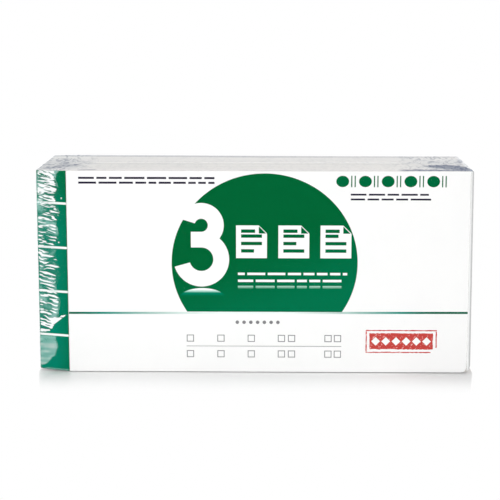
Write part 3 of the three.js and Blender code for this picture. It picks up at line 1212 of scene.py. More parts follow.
class WrinkleMap:
    """Where the shrink film is wrinkled and slack, and where glare and shade are painted on it,
    point by point.
    """

    def __init__(self, film: ShrinkFilm, where: np.ndarray, normal: np.ndarray) -> None:
        """Draws the ripples for that film.

        Args:
            film: the film's sizes.
            where: the smooth film's points, in millimetres.
            normal: its outward directions.
        """
        self.film = film
        self.marks = FilmMarks()
        self.where = where
        self.normal = normal
        self.level = smooth(0.4, 0.8, np.abs(normal[:, 2]))
        self.broad, self.fine, self.wave, self.patch = (Ripple(s) for s in (11, 23, 37, 41))

    def read(self) -> tuple[np.ndarray, ...]:
        """The wrinkles at each point.

        Returns:
            The outward height in millimetres, how slack the film is with its painted bright
            patches, and its painted glare and painted shade.
        """
        marks = self.marks
        x, y, z = self.where.T
        taut_front = (self.normal[:, 1] < -0.6) & (x > PACK.crease_x)
        slack = np.where(taut_front, 0.0, self.slack())
        height = self.ribs() * slack.clip(0, 1) * (1 - self.level)
        lengthwise = marks.long_crease * self.wave.at(x / 45, y / 3.2)
        lengthwise = lengthwise + marks.short_crease * self.broad.at(x / 16, y / 1.8)
        height += lengthwise * self.level + self.weld()
        faint = marks.front_ripple * self.patch.at(x / 26 + z / 40, z / 17 - x / 35)
        faint = faint * smooth(0, 5, z) * smooth(0, 4, x - PACK.crease_x)
        height = np.where(taut_front, faint - marks.front_inset, height)
        return height, slack, self.milk(), self.bunch()

    def slack(self) -> np.ndarray:
        """How slack the film would be with no taut front.

        Returns:
            0 where it is taut, 1 where it is ribbed, and more where a highlight is painted all
            over.
        """
        marks = self.marks
        x, y, _ = self.where.T
        ended = smooth(0.4, 0.8, np.abs(self.normal[:, 0]))
        from_end = np.minimum(x - self.film.left + 5.0, self.film.right - x)
        near_end = 1 - smooth(*marks.end_span, from_end + 5 * self.patch.at(y / 9, x / 9))
        slack = np.maximum(self.strip(), marks.end_slack * ended**3)
        top = marks.level_slack + marks.level_end_slack * near_end
        return np.where(self.level > 0.5, top, slack)

    def ribs(self) -> np.ndarray:
        """The relief of the narrow ribs that run into both ends of the pack.

        Returns:
            The outward height in millimetres.
        """
        x, y, z = self.where.T
        pitch = self.film.rib_pitch
        inward = np.where(np.abs(self.normal[:, 0]) > 0.8, np.abs(y), -self.film.left - np.abs(x))
        bent = z + 0.9 * self.wave.at(inward / 6 + 3, z / 9) + 0.16 * inward
        coarse = self.broad.at(inward / 9, bent / pitch)
        small = self.fine.at(inward / 4.5, bent / (0.55 * pitch))
        return self.film.rib_height * (0.65 * coarse + 0.35 * small)

    def strip(self) -> np.ndarray:
        """How slack the film is over the bound margin.

        Returns:
            0 where it is taut, 1 where it is ribbed, and more where a highlight is painted all
            over.
        """
        marks = self.marks
        x, _, z = self.where.T
        edge = marks.strip_edge + 1.2 * self.patch.at(z / 5.5, z * 0)
        edge = edge + 0.5 * self.wave.at(z / 1.7, z * 0)
        low, high = follow(x, marks.swoosh_low), follow(x, marks.swoosh_high)
        lowest = np.maximum(low, marks.strip_low)
        slack = smooth(1.1, -1.1, x - edge) * smooth(-0.3, 0.3, z - lowest)
        # A painted bright patch high on the margin.
        right = follow(z, marks.patch_right) + 0.5 * self.wave.at(z / 1.5, z * 0)
        patch = smooth(0.8, -0.8, x - right) * smooth(-0.8, 0.8, z - marks.patch_low)
        slack += marks.patch_glare * patch * smooth(*marks.patch_start, x)
        # A painted bright swoosh low on the margin.
        swoosh = between(z, low, high, 0.35) * (x < marks.swoosh_end)
        bright = marks.swoosh_glare + marks.swoosh_more_glare * smooth(*marks.swoosh_start, x)
        slack = np.maximum(slack, bright * swoosh)
        # Painted bright spots on the margin.
        for spot_x, spot_z, radius in marks.spots:
            away = np.hypot(x - spot_x, z - spot_z)
            spot = smooth(radius + 0.3, radius - 0.3, away)
            slack = np.maximum(slack, marks.spot_glare * spot)
        return slack * smooth(*marks.strip_start, x)

    def milk(self) -> np.ndarray:
        """Where white is painted on the film: a painted sheen on the level faces, a painted white
        band by the fore-edge, painted highlights in the lower lobe and a painted glint along the
        lower fold.

        Returns:
            0 where it is clear, 1 where it is painted white.
        """
        marks = self.marks
        x, _, z = self.where.T
        facing = np.abs(self.normal[:, 1]) > 0.6
        # A white band painted beyond the fore-edge, over the shaded gap there.
        band = smooth(PACK.fore_edge_x - 0.1, PACK.fore_edge_x + 0.25, x)
        # A painted sheen on the level faces.
        milk = np.where(facing, marks.band_glare * band, marks.level_sheen * self.level)
        # Painted highlights in the lower lobe of the margin.
        lobe = smooth(0.5, -0.5, x - follow(z, marks.lobe_right)) * smooth(1.8, 2.6, z)
        lobe = lobe * smooth(marks.lobe_top + 0.2, marks.lobe_top - 0.2, z)
        mottled = marks.lobe_glare + marks.lobe_mottle * self.fine.at(x / 3, z / 1.1)
        # A painted glint along the lower fold.
        fold = PACK.book_bottom + marks.lower_fold_rise
        fold = fold + marks.lower_fold_slope * (PACK.crease_x - x) / PACK.margin
        glint = marks.glint_white * between(z, fold - 0.15, fold + 0.15, 0.3)
        glint = np.maximum(mottled * lobe, glint * between(x, *marks.lower_fold_span, 1.0))
        milk = np.where(facing & (x < PACK.crease_x), glint, milk)
        # A faint painted glare on both ends.
        return np.where(np.abs(self.normal[:, 0]) > 0.6, marks.end_glare, milk)

    def weld(self) -> np.ndarray:
        """The bead that closes the film along the top and down both ends.

        Returns:
            The outward height in millimetres.
        """
        x, y, z = self.where.T
        film = self.film
        height = film.weld_height - self.marks.weld_sunk
        bead = np.exp(-((y / (film.weld_width / 2)) ** 2)) * height
        along_top = smooth(0, 2, film.right - film.weld_from_end - np.abs(x))
        along_top = along_top * (self.normal[:, 2] > 0.5)
        down_end = smooth(0, 2, z - film.weld_from_end) * smooth(0, 2, film.weld_top - z)
        down_end = down_end * (np.abs(self.normal[:, 0]) > 0.5)
        return bead * np.maximum(along_top, down_end)

    def bunch(self) -> np.ndarray:
        """Where shade and reflection are painted on the film and look darker: folds, rims, back
        edge, ends and lines on the top, and the rounded fore-edge end.

        Returns:
            0 where nothing is painted, 1 where it is darkest.
        """
        x, y, z = self.where.T
        upper = smooth(0.4, 0.8, self.normal[:, 2])
        marks = self.marks
        # Painted shade and painted reflection on the top: darker folds, rims, back edge, ends, weld
        # seam and creases.
        right = between(y, follow(x, marks.right_fold_front), follow(x, marks.right_fold_back), 3)
        right *= marks.right_fold_dark * smooth(*marks.right_fold_start, x)
        left = between(y, follow(x, marks.left_fold_front), follow(x, marks.left_fold_back), 6)
        left *= marks.left_fold_dark * smooth(*marks.left_fold_start, x) * smooth(
            *marks.left_fold_end, x)
        rim = marks.right_rim_dark * between(x, *marks.right_rim, 4)
        rim = rim + marks.left_rim_dark * between(x, *marks.left_rim, 1.5)
        rim = smooth(*marks.rim_back, y) * smooth(*marks.rim_front, y) * rim
        back = marks.back_dark - marks.back_lighter * smooth(*marks.back_lightens, x)
        back = back * smooth(*marks.back_start, y)
        ends = marks.left_end_dark * smooth(*marks.left_end, x)
        ends = ends + marks.right_end_dark * smooth(*marks.right_end, x)
        ends = ends * between(y, *marks.ends_span, 12)
        seam = marks.seam_dark * between(y, *marks.seam_span, 2)
        lines = marks.crease_dark * (0.5 + 0.5 * self.wave.at(x / 50, y / 5 + 9))
        top = np.maximum.reduce([right, left, rim, back, seam, ends]) + lines
        # Painted shade down the rounded fore-edge end of the film.
        edge = smooth(*marks.edge_end, self.film.right_at(z) - x) * (1 - upper)
        edge *= smooth(0.95, 0.7, np.abs(self.normal[:, 0]))
        return np.clip(top * upper + marks.edge_dark * edge, 0, 1)


@dataclass
class BookCover:
    """One book's cover card, folded round the spine."""

    index: int
    fold_radius: float = 0.8
    fold_steps: int = 7
    thinned: float = 0.004

    @property
    def number(self) -> str:
        """The book's number in names."""
        return f"{self.index + 1:02d}"

    def outside(self) -> list[tuple[float, float]]:
        """The outer face seen from above.

        Returns:
            Its x and y, from the front's free end round to the back's.
        """
        radius = self.fold_radius
        spine = PACK.spine_x
        front_end = PACK.bound_end_x if self.index == 0 else PACK.fore_edge_x
        stops = np.concatenate([
            np.linspace(PACK.fore_edge_x, PACK.fore_edge_x - 2.5, 10),
            np.linspace(PACK.fore_edge_x - 4, PACK.crease_x + 1, 12),
            np.linspace(PACK.crease_x, spine + radius, 12),
        ])
        front_stops = [front_end, *[x for x in stops if x < front_end - 0.01]]
        front_y, back_y = PACK.front(self.index, spine), PACK.back(self.index, spine)
        turn = np.linspace(0, math.pi / 2, self.fold_steps)[1:]
        line = [(x, PACK.front(self.index, x)) for x in front_stops]
        line += [(spine + radius * (1 - math.sin(a)), front_y + radius * (1 - math.cos(a)))
                 for a in turn]
        line += [(spine, y) for y in np.linspace(front_y + radius, back_y - radius, 5)[1:]]
        line += [(spine + radius * (1 - math.cos(a)), back_y - radius * (1 - math.sin(a)))
                 for a in turn]
        line += [(x, PACK.back(self.index, x)) for x in stops[::-1] if x > spine + radius]
        return line

    def build(self, finishes: Finishes) -> bpy.types.Object:
        """The card with its real thickness, rubbed corners and rounded folds.

        Args:
            finishes: the pack's materials.

        Returns:
            The piece.
        """
        outer = np.array(self.outside())
        ahead = np.gradient(outer, axis=0)
        ahead /= np.linalg.norm(ahead, axis=1)[:, None]
        inward = np.stack([ahead[:, 1], -ahead[:, 0]], axis=1)
        inner = outer + inward * (PACK.card - self.thinned)
        points: list[Place] = []
        for (x, y), (inner_x, inner_y) in zip(outer, inner):
            low = PACK.lower_edge(x)
            points += [(x, y, low), (x, y, PACK.book_top),
                       (inner_x, inner_y, PACK.book_top), (inner_x, inner_y, low)]
        faces = loft(len(outer), 4)
        name = f"book_{self.number}_cover"
        node = "book_01_cover_spine_and_back" if self.index == 0 else name
        piece = add_mesh(f"{name}_card", np.array(points), faces, finishes.card, rounded=False)
        outward(piece)
        return settle(piece, Body.STACK, Slot.CARD, node)


def loft(rings: int, around: int) -> list[list[int]]:
    """Faces of a closed bar whose rings of points follow each other.

    Args:
        rings: how many rings there are.
        around: how many points each has.

    Returns:
        The point numbers of each face.
    """
    faces = []
    for ring in range(rings - 1):
        for side in range(around):
            beside = (side + 1) % around
            faces.append([ring * around + side, ring * around + beside,
                          (ring + 1) * around + beside, (ring + 1) * around + side])
    faces.append(list(range(around))[::-1])
    faces.append([(rings - 1) * around + side for side in range(around)])
    return faces


def outward(piece: bpy.types.Object, joined: bool = False) -> None:
    """Turns every face of a closed piece outwards.

    Args:
        piece: the piece, whose mesh is changed.
        joined: whether points that lie on each other are made one first, and unused ones dropped.
    """
    work = bmesh.new()
    work.from_mesh(piece.data)
    if joined:
        bmesh.ops.remove_doubles(work, verts=work.verts, dist=MERGE_DISTANCE * MM)
        loose = [v for v in work.verts if not v.link_faces]
        bmesh.ops.delete(work, geom=loose, context="VERTS")
    bmesh.ops.recalc_face_normals(work, faces=work.faces)
    work.to_mesh(piece.data)
    work.free()


class Generator(Wiring):
    """Builds one Geometry Nodes tree with named inputs."""

    def __init__(self, name: str) -> None:
        """Starts the tree with a mesh going in and one coming out.

        Args:
            name: the tree's name.
        """
        super().__init__(bpy.data.node_groups.new(name, "GeometryNodeTree"))
        for way in ("INPUT", "OUTPUT"):
            self.tree.interface.new_socket(
                "Geometry", in_out=way, socket_type="NodeSocketGeometry")
        self.entry = self.node("NodeGroupInput")
        self.exit = self.node("NodeGroupOutput")
        self.identifiers: dict[str, str] = {}

    def input(self, name: str, kind: str) -> Socket:
        """Adds a named input.

        Args:
            name: the input's name.
            kind: the socket's type without its common beginning.

        Returns:
            Its socket inside the tree.
        """
        made = self.tree.interface.new_socket(
            name, in_out="INPUT", socket_type=f"NodeSocket{kind}")
        self.identifiers[name] = made.identifier
        return self.entry.outputs[name]

    def geometry(self, kind: str, settings: dict[str, object] | None = None,
                 **inputs: object) -> Socket:
        """Adds a geometry node by the end of its type and returns its first output."""
        return self.node(f"GeometryNode{kind}", settings, **inputs).outputs[0]

    def vector(self, **parts: object) -> Socket:
        """A vector from its X, Y and Z, where those left out are 0."""
        return self.node("ShaderNodeCombineXYZ", None, **parts).outputs[0]

    def finish(self, geometry: Socket) -> None:
        """Sends the geometry out of the tree."""
        self.plug(self.exit.inputs[0], geometry)


def grow(piece: bpy.types.Object, maker: Generator, values: dict[str, object]) -> None:
    """Runs a tree on a piece and keeps the result as its plain mesh.

    Args:
        piece: the object whose mesh goes in.
        maker: the finished tree.
        values: what each named input is set to.
    """
    modifier = piece.modifiers.new("maker", "NODES")
    modifier.node_group = maker.tree
    for name, value in values.items():
        modifier[maker.identifiers[name]] = value
    depsgraph = bpy.context.evaluated_depsgraph_get()
    made = bpy.data.meshes.new_from_object(piece.evaluated_get(depsgraph))
    piece.modifiers.remove(modifier)
    piece.data = made


@dataclass
class LeafStack:
    """The bound leaves of one book, each a sheet of its own colour."""

    finishes: Finishes
    scatter: float = 0.10
    first_seed: int = 100

    def __post_init__(self) -> None:
        """Builds the tree that every book's stack is made with."""
        self.maker = self.tree()

    def placed(self, maker: Generator, scatter: Socket) -> Socket:
        """One numbered leaf after another in one place, each a little out of line.

        Args:
            maker: the tree being built.
            scatter: how far out of line they lie.

        Returns:
            The leaves as one mesh that carries their numbers.
        """
        count, first = maker.input("Leaves", "Int"), maker.input("First Leaf", "Int")
        line = maker.geometry("MeshLine", Count=count, Offset=(0.0, 0.0, 0.0))
        leaves = maker.geometry("InstanceOnPoints", Points=line, Instance=maker.entry.outputs[0])
        marked = maker.node("GeometryNodeStoreNamedAttribute",
                            {"data_type": "INT", "domain": "INSTANCE"},
                            Geometry=leaves, Name="leaf")
        maker.plug(marked.inputs["Value"], maker.math("ADD", maker.geometry("InputIndex"), first))
        jitter = maker.node("FunctionNodeRandomValue", {"data_type": "FLOAT_VECTOR"},
                            Seed=maker.input("Seed", "Int"))
        maker.fed(jitter,
                  maker.vector(X=maker.times(scatter, -1.0), Z=maker.times(scatter, -0.7)),
                  maker.vector(X=maker.times(scatter, 0.6), Z=maker.times(scatter, 0.7)))
        moved = maker.geometry("TranslateInstances", Instances=marked.outputs[0],
                               Translation=jitter.outputs[0])
        return maker.geometry("RealizeInstances", Geometry=moved)

    def tree(self) -> Generator:
        """Repeats one leaf through a book, closer together at the spine.

        Returns:
            The finished tree.
        """
        maker = Generator("leaves_of_one_book")
        flat, spine, pitch, spine_pitch, scatter = (
            maker.input(name, "Float") for name in
            ("Front Face", "Front Face At Spine", "Pitch", "Pitch At Spine", "Scatter")
        )
        leaves = self.placed(maker, scatter)
        number = maker.geometry("InputNamedAttribute", {"data_type": "INT"}, Name="leaf")
        past = maker.math("SUBTRACT", PACK.crease_x * MM,
                          maker.parts(maker.geometry("InputPosition"))[0])
        share = maker.math("DIVIDE", past, PACK.margin * MM, clamp=True)
        straight = maker.math("MULTIPLY_ADD", number, pitch, flat)
        pressed = maker.math("MULTIPLY_ADD", number, spine_pitch, spine)
        gap = maker.math("SUBTRACT", pressed, straight)
        offset = maker.vector(Y=maker.math("MULTIPLY_ADD", gap, share, straight))
        current = maker.geometry("SetPosition", Geometry=leaves, Offset=offset)
        kind = maker.math("FLOORED_MODULO", number, 3.0)
        for copy in Copy:
            current = maker.geometry(
                "SetMaterial", Geometry=current,
                Selection=maker.math("COMPARE", kind, float(copy.value), 0.4),
                Material=maker.input(f"{copy.name.title()} Paper", "Material"))
        maker.finish(current)
        return maker

    def leaf(self, name: str, left: float) -> bpy.types.Object:
        """One flat leaf at y = 0, with a fold line at the crease and its corner rubbed.

        Args:
            name: the piece's name.
            left: where the leaf begins at the spine.

        Returns:
            The leaf.
        """
        right = PACK.fore_edge_x - PACK.leaf_inset
        radius = PACK.corner_radius - PACK.leaf_inset
        bend = np.linspace(0, math.pi / 2, 5)[1:]
        stops = [left, PACK.crease_x, right - radius, *(right - radius + radius * np.sin(bend))]
        top = PACK.book_top - PACK.leaf_inset
        points: list[Place] = []
        for x in stops:
            low = PACK.lower_edge(x, PACK.leaf_inset)
            points += [(x, 0, low), (x, 0, top), (x, PACK.leaf, top), (x, PACK.leaf, low)]
        piece = add_mesh(name, np.array(points), loft(len(stops), 4),
                         self.finishes.paper[Copy.WHITE], rounded=False)
        outward(piece)
        return piece

    def build(self, index: int) -> None:
        """Makes the stack of one book, counted from 0.

        Args:
            index: the book.
        """
        turning = len(Copy) if index == 0 else 0
        spine = PACK.spine_x
        piece = self.leaf(f"book_{index + 1:02d}_leaves", spine + PACK.leaf_start)
        deep = PACK.leaves * PACK.leaf_pitch - PACK.spine_nip
        grow(piece, self.maker, {
            "Leaves": PACK.leaves - turning,
            "First Leaf": turning,
            "Front Face": (PACK.front(index, 0) + PACK.leaf_start) * MM,
            "Front Face At Spine": (PACK.front(index, spine) + PACK.leaf_start) * MM,
            "Pitch": PACK.leaf_pitch * MM,
            "Pitch At Spine": deep / PACK.leaves * MM,
            "Scatter": self.scatter * MM,
            "Seed": self.first_seed + index,
            **{f"{copy.name.title()} Paper": self.finishes.paper[copy] for copy in Copy},
        })
        settle(piece, Body.STACK, Slot.EDGES, f"book_{index + 1:02d}_leaf_block")


@dataclass
class ReceiptForm:
    """The ruled form on a leaf, as thin lines of ink without any words."""

    left: float = -70.0
    right: float = 84.0
    low: float = 12.0
    high: float = 66.0
    rows: int = 6
    columns: int = 4
    line: float = 0.28
    relief: float = 0.006

    def tree(self) -> Generator:
        """Repeats a ruled line upwards and an upright one across.

        Returns:
            The finished tree.
        """
        maker = Generator("ruled_form")
        joined = maker.node("GeometryNodeJoinGeometry")
        for name, axis in (("Row", "Z"), ("Column", "X")):
            offset = maker.vector(**{axis: maker.input(f"{name} Pitch", "Float")})
            line = maker.geometry("MeshLine", Count=maker.input(f"{name}s", "Int"), Offset=offset,
                                  Start_Location=maker.input(f"First {name}", "Vector"))
            bar = maker.geometry("MeshCube", Size=maker.input(f"{name} Line", "Vector"))
            maker.plug(joined.inputs[0], maker.geometry("InstanceOnPoints", Points=line,
                                                        Instance=bar))
        real = maker.geometry("RealizeInstances", Geometry=joined.outputs[0])
        maker.finish(maker.geometry("SetMaterial", Geometry=real,
                                    Material=maker.input("Ink", "Material")))
        return maker

    def build(self, name: str, face_y: float, body: Body, slot: Slot,
              colour: bpy.types.Material) -> bpy.types.Object:
        """The form on the leaf whose front face is at face_y.

        Args:
            name: the piece's name.
            face_y: the leaf's front face, in millimetres.
            body: what the leaf moves with.
            slot: the leaf's finish.
            colour: the ink.

        Returns:
            The piece.
        """
        piece = add_mesh(name, np.zeros((1, 3)), [], colour)
        width, height = self.right - self.left, self.high - self.low
        y = face_y - self.relief / 2
        middle = (self.left + self.right) / 2
        grow(piece, self.tree(), {
            "Rows": self.rows + 1,
            "Row Pitch": height / self.rows * MM,
            "Row Line": ((width + self.line) * MM, self.relief * MM, self.line * MM),
            "First Row": (middle * MM, y * MM, self.low * MM),
            "Columns": self.columns + 1,
            "Column Pitch": width / self.columns * MM,
            "Column Line": (self.line * MM, self.relief * MM, height * MM),
            "First Column": (self.left * MM, y * MM, (self.low + height / 2) * MM),
            "Ink": colour,
        })
        return settle(piece, body, slot)


class Drawing:
    """Collects flat shapes on the cover and makes them one thin printed piece."""

    layer_step: float = 0.014
    thickness: float = 0.010

    def __init__(self, name: str, layer: int) -> None:
        """Starts a piece of ink.

        Args:
            name: the piece's name.
            layer: the layer that its ink lies on, counted from 1.
        """
        self.name = name
        self.front = PACK.stack_front - self.layer_step * layer
        self.back = self.front + self.thickness
        self.points: list[Place] = []
        self.faces: list[list[int]] = []

    def shape(self, outline: Outline) -> None:
        """Adds a closed outline of x and z.

        Args:
            outline: its corners, counter-clockwise as seen from the front.
        """
        count, start = len(outline), len(self.points)
        self.points += [(x, self.front, z) for x, z in outline]
        self.points += [(x, self.back, z) for x, z in outline]
        self.faces.append([start + k for k in range(count)])
        self.faces.append([start + count + k for k in range(count)][::-1])
        for k in range(count):
            after = (k + 1) % count
            self.faces.append([start + after, start + k, start + count + k, start + count + after])

    def bar(self, left: float, low: float, right: float, high: float) -> None:
        """Adds a plain rectangle."""
        self.shape([(left, low), (right, low), (right, high), (left, high)])

    def oval(self, x: float, z: float, across: float, up: float, steps: int = 28) -> None:
        """Adds an ellipse with those half sizes."""
        turn = [2 * math.pi * k / steps for k in range(steps)]
        self.shape([(x + across * math.cos(a), z + up * math.sin(a)) for a in turn])

    def dome(self, x: float, z: float, across: float, up: float, low: float,
             steps: int) -> None:
        """Adds the part of an ellipse that lies above a height.

        Args:
            x: the middle of the whole ellipse.
            z: its height.
            across: half of its width.
            up: half of its height.
            low: where it is cut off.
            steps: how many points the curve has.
        """
        edge = math.asin((low - z) / up)
        turn = np.linspace(edge, math.pi - edge, steps)
        self.shape([(x + across * math.cos(a), z + up * math.sin(a)) for a in turn])

    def box(self, left: float, low: float, right: float, high: float, line: float) -> None:
        """Adds an open rectangle.

        Args:
            left: its left edge.
            low: its lower edge.
            right: its right edge.
            high: its upper edge.
            line: how thick its line is.
        """
        self.bar(left, low, right, low + line)
        self.bar(left, high - line, right, high)
        self.bar(left, low + line, left + line, high - line)
        self.bar(right - line, low + line, right, high - line)

    def build(self, finish: bpy.types.Material) -> bpy.types.Object:
        """Makes the piece and puts it on the cover.

        Args:
            finish: the ink.

        Returns:
            The piece.
        """
        piece = add_mesh(self.name, np.array(self.points), self.faces, finish, rounded=False)
        outward(piece)
        return settle(piece, Body.COVER, Slot.CARD)


def arc(x: float, z: float, radius: float, start: float, end: float, steps: int) -> Outline:
    """Points along an arc round x and z, between two angles in degrees."""
    turn = np.radians(np.linspace(start, end, steps))
    return [(x + radius * math.cos(a), z + radius * math.sin(a)) for a in turn]


@dataclass
class CoverPrint:
    """What is printed on the front cover, with plain marks where words would stand."""

    finishes: Finishes
    disc_x: float = 4.55
    disc_z: float = 49.3
    disc_across: float = 41.0
    disc_up: float = 39.85
    rule_left: float = -82.3
    rule_right: float = 94.42
    rule_left_z: float = 26.66
    rule_right_z: float = 27.27
    rule_half: float = 0.48
    numeral_x: float = -23.3
    numeral_top: float = 76.1
    stroke: float = 7.0
    upper_radius: float = 6.4
    lower_radius: float = 8.75
    joint_length: float = 4.6
    glow_x: float = -22.9
    glow_z: float = 33.1
    glow_across: float = 10.5
    glow_up: float = 5.0
    glow_low: float = 34.2
    glint_low: float = 36.2
    sheet_lefts: tuple[float, ...] = (-8.0, 10.6, 29.1)
    sheet_width: float = 13.6
    sheet_low: float = 51.6
    sheet_high: float = 66.2
    sheet_fold: float = 3.6
    sheet_margin: float = 2.2
    sheet_row_pitch: float = 3.3
    sheet_row_height: float = 1.5
    dash_shortest: float = 3.0
    dash_longest: float = 9.0
    dash_gap: float = 1.1
    dash_rest: float = 1.5
    blank_lefts: tuple[float, ...] = (-30.0, -16.4, -2.9, 10.5, 15.0, 31.2, 35.4)
    blank_lows: tuple[float, ...] = (6.7, 13.8)
    blank_size: float = 3.2
    blank_line: float = 0.36
    dots: int = 7
    dot_left: float = -7.5
    dot_pitch: float = 3.0
    dot_z: float = 22.7
    dot_radius: float = 0.8
    form_line: tuple[float, ...] = (-30.1, 11.7, 38.7, 11.95)
    bead_row_left: float = 35.8
    bead_row_right: float = 85.3
    bead_row_z: float = 85.7
    bead_pitch: float = 9.9
    bead_across: float = 2.8
    bead_up: float = 2.5
    reel_from_bead: float = 6.5
    reel_pitch: float = 1.5
    reel_width: float = 0.5
    seal_box: tuple[float, ...] = (49.5, 9.0, 81.0, 19.4)
    seal_frame_shake: float = 0.09
    seal_block_shake: float = 0.16
    lozenges: int = 6
    lozenge_left: float = 53.9
    lozenge_pitch: float = 4.52
    lozenge_z: float = 14.25
    lozenge_half: float = 1.95

    def disc(self) -> None:
        """The green disc, cut off along the rule."""
        art = Drawing("printed_disc", 1)
        cut = (self.rule_left_z + self.rule_right_z) / 2 + self.rule_half
        art.dome(self.disc_x, self.disc_z, self.disc_across, self.disc_up, cut, 120)
        art.build(self.finishes.disc)

    def rule(self) -> None:
        """The rule under the disc, from the crease to the fore-edge."""
        art = Drawing("printed_rule", 1)
        low, high, half = self.rule_left_z, self.rule_right_z, self.rule_half
        art.shape([(self.rule_left, low - half), (self.rule_right, high - half),
                   (self.rule_right, high + half), (self.rule_left, low + half)])
        art.build(self.finishes.rule_ink)

    def numeral(self) -> None:
        """A plain numeral 3, drawn as two arcs with an even stroke."""
        art = Drawing("printed_numeral", 2)
        half, x = self.stroke / 2, self.numeral_x
        upper, lower = self.upper_radius, self.lower_radius
        upper_z = self.numeral_top - upper - half
        joint = upper_z - upper
        lower_z = joint - lower
        down = ((upper + lower) ** 2 + (upper + half) ** 2 - (lower + half) ** 2) / (
            2 * (upper + lower))
        notch = math.degrees(math.acos(down / (upper + half)))
        across = math.degrees(math.asin(
            (upper + half) * math.sin(math.radians(notch)) / (lower + half)))
        end_x = x - self.joint_length
        art.shape([
            *arc(x, upper_z, upper - half, 163, -90, 30),
            (end_x, joint + half), (end_x, joint - half),
            *arc(x, lower_z, lower - half, 90, -164, 40),
            *arc(x, lower_z, lower + half, -164, 90 - across, 50),
            *arc(x, upper_z, upper + half, -90 + notch, 163, 50)[1:],
        ])
        art.build(self.finishes.white_ink)

    def reflection(self) -> None:
        """The pale reflection under the numeral, in two layers."""
        for name, finish, layer, low in (
            ("printed_glow", self.finishes.glow, 2, self.glow_low),
            ("printed_glint", self.finishes.glint, 3, self.glint_low),
        ):
            art = Drawing(name, layer)
            art.dome(self.glow_x, self.glow_z, self.glow_across, self.glow_up, low, 40)
            art.build(finish)

    def sheets(self) -> None:
        """Three sheets of paper as signs, for the three copies of a set."""
        art = Drawing("printed_sheets", 2)
        lines = Drawing("printed_sheet_lines", 3)
        low, high, fold = self.sheet_low, self.sheet_high, self.sheet_fold
        margin, thick = self.sheet_margin, self.sheet_row_height
        for copy, left in enumerate(self.sheet_lefts):
            right = left + self.sheet_width
            art.shape([(left, low), (right, low), (right, high - fold), (right - fold, high),
                       (left, high)])
            lines.shape([(right - fold, high - fold), (right - 0.4, high - fold),
                         (right - fold, high - 0.4)])
            for row in range(3):
                z = low + 2.5 + row * self.sheet_row_pitch
                short = 3.5 if row == copy else 0.0
                lines.bar(left + margin, z, right - margin - short, z + thick)
            lines.bar(left + margin, high - 3.3, right - fold - 1.6, high - 3.3 + thick)
        art.build(self.finishes.white_ink)
        lines.build(self.finishes.disc)

    def dashes(self, name: str, start: float, end: float, rows: Sequence[tuple[float, float]],
               finish: bpy.types.Material, layer: int, seed: int) -> None:
        """Rows of short bars of different lengths.

        Args:
            name: the piece's name.
            start: where the rows begin, in x.
            end: where they end.
            rows: the lower and upper edge of each row.
            finish: the ink.
            layer: which layer of ink it is.
            seed: fixes the lengths.
        """
        art = Drawing(name, layer)
        chance = np.random.default_rng(seed)
        for low, high in rows:
            x = start
            while x < end - self.dash_rest:
                drawn = float(chance.uniform(self.dash_shortest, self.dash_longest))
                length = min(drawn, end - x)
                art.bar(x, low, x + length, high)
                x += length + self.dash_gap
        art.build(finish)

    def marks(self) -> None:
        """Plain marks in the places of the small lines."""
        inks = self.finishes
        for name, start, end, rows, finish, layer, seed in (
            ("printed_header_marks", -77.1, -17.4, ((84.5, 85.4), (86.6, 87.5)),
             inks.dark_ink, 1, 5),
            ("printed_note_marks", 42.2, 78.3, ((77.4, 78.2), (79.5, 80.3)), inks.dark_ink, 1, 6),
            ("printed_faint_marks", -7.2, 41.0, ((38.0, 39.2),), inks.faint_ink, 2, 7),
            ("printed_disc_marks", -7.2, 41.0, ((40.9, 42.0), (44.0, 45.1)),
             inks.white_ink, 2, 7),
        ):
            self.dashes(name, start, end, rows, finish, layer, seed)
        blanks = Drawing("printed_form_marks", 1)
        for low in self.blank_lows:
            for x in self.blank_lefts:
                blanks.box(x, low, x + self.blank_size, low + self.blank_size, self.blank_line)
        for k in range(self.dots):
            dot_x = self.dot_left + self.dot_pitch * k
            blanks.oval(dot_x, self.dot_z, self.dot_radius, self.dot_radius, 16)
        blanks.bar(*self.form_line)
        blanks.build(inks.grey_ink)

    def ornament(self) -> None:
        """A row of beads and reels in green."""
        art = Drawing("printed_beads", 1)
        low, high = self.bead_row_z - self.bead_up, self.bead_row_z + self.bead_up
        x = self.bead_row_left
        while x + 6.0 < self.bead_row_right:
            art.oval(x + self.bead_across, self.bead_row_z, self.bead_across, self.bead_up)
            for k in range(2):
                reel = x + self.reel_from_bead + self.reel_pitch * k
                if reel + self.reel_width < self.bead_row_right:
                    art.bar(reel, low, reel + self.reel_width, high)
            x += self.bead_pitch
        art.build(self.finishes.ornament_ink)

    def seal(self) -> None:
        """A rough red frame round a red block with white lozenges."""
        chance = np.random.default_rng(9)
        art = Drawing("printed_seal", 1)
        left, low, right, high = self.seal_box
        block = (left + 1.7, low + 1.6, right - 1.7, high - 1.5)
        art.shape(rough_box(*block, self.seal_block_shake, chance))
        for side in (
            (left, high - 0.5, right, high), (left, low, right - 2.6, low + 0.45),
            (left, low + 0.5, left + 0.5, high - 0.6), (right - 0.5, low + 2.4, right, high - 0.6),
        ):
            art.shape(rough_box(*side, self.seal_frame_shake, chance))
        art.build(self.finishes.seal_ink)
        white = Drawing("printed_seal_marks", 2)
        z, half = self.lozenge_z, self.lozenge_half
        for k in range(self.lozenges):
            x = self.lozenge_left + self.lozenge_pitch * k
            white.shape([(x, z - half), (x + half, z), (x, z + half), (x - half, z)])
        white.build(self.finishes.white_ink)

    def build(self) -> None:
        """Prints the whole cover."""
        for part in (self.disc, self.rule, self.numeral, self.reflection, self.sheets, self.marks,
                     self.ornament, self.seal):
            part()


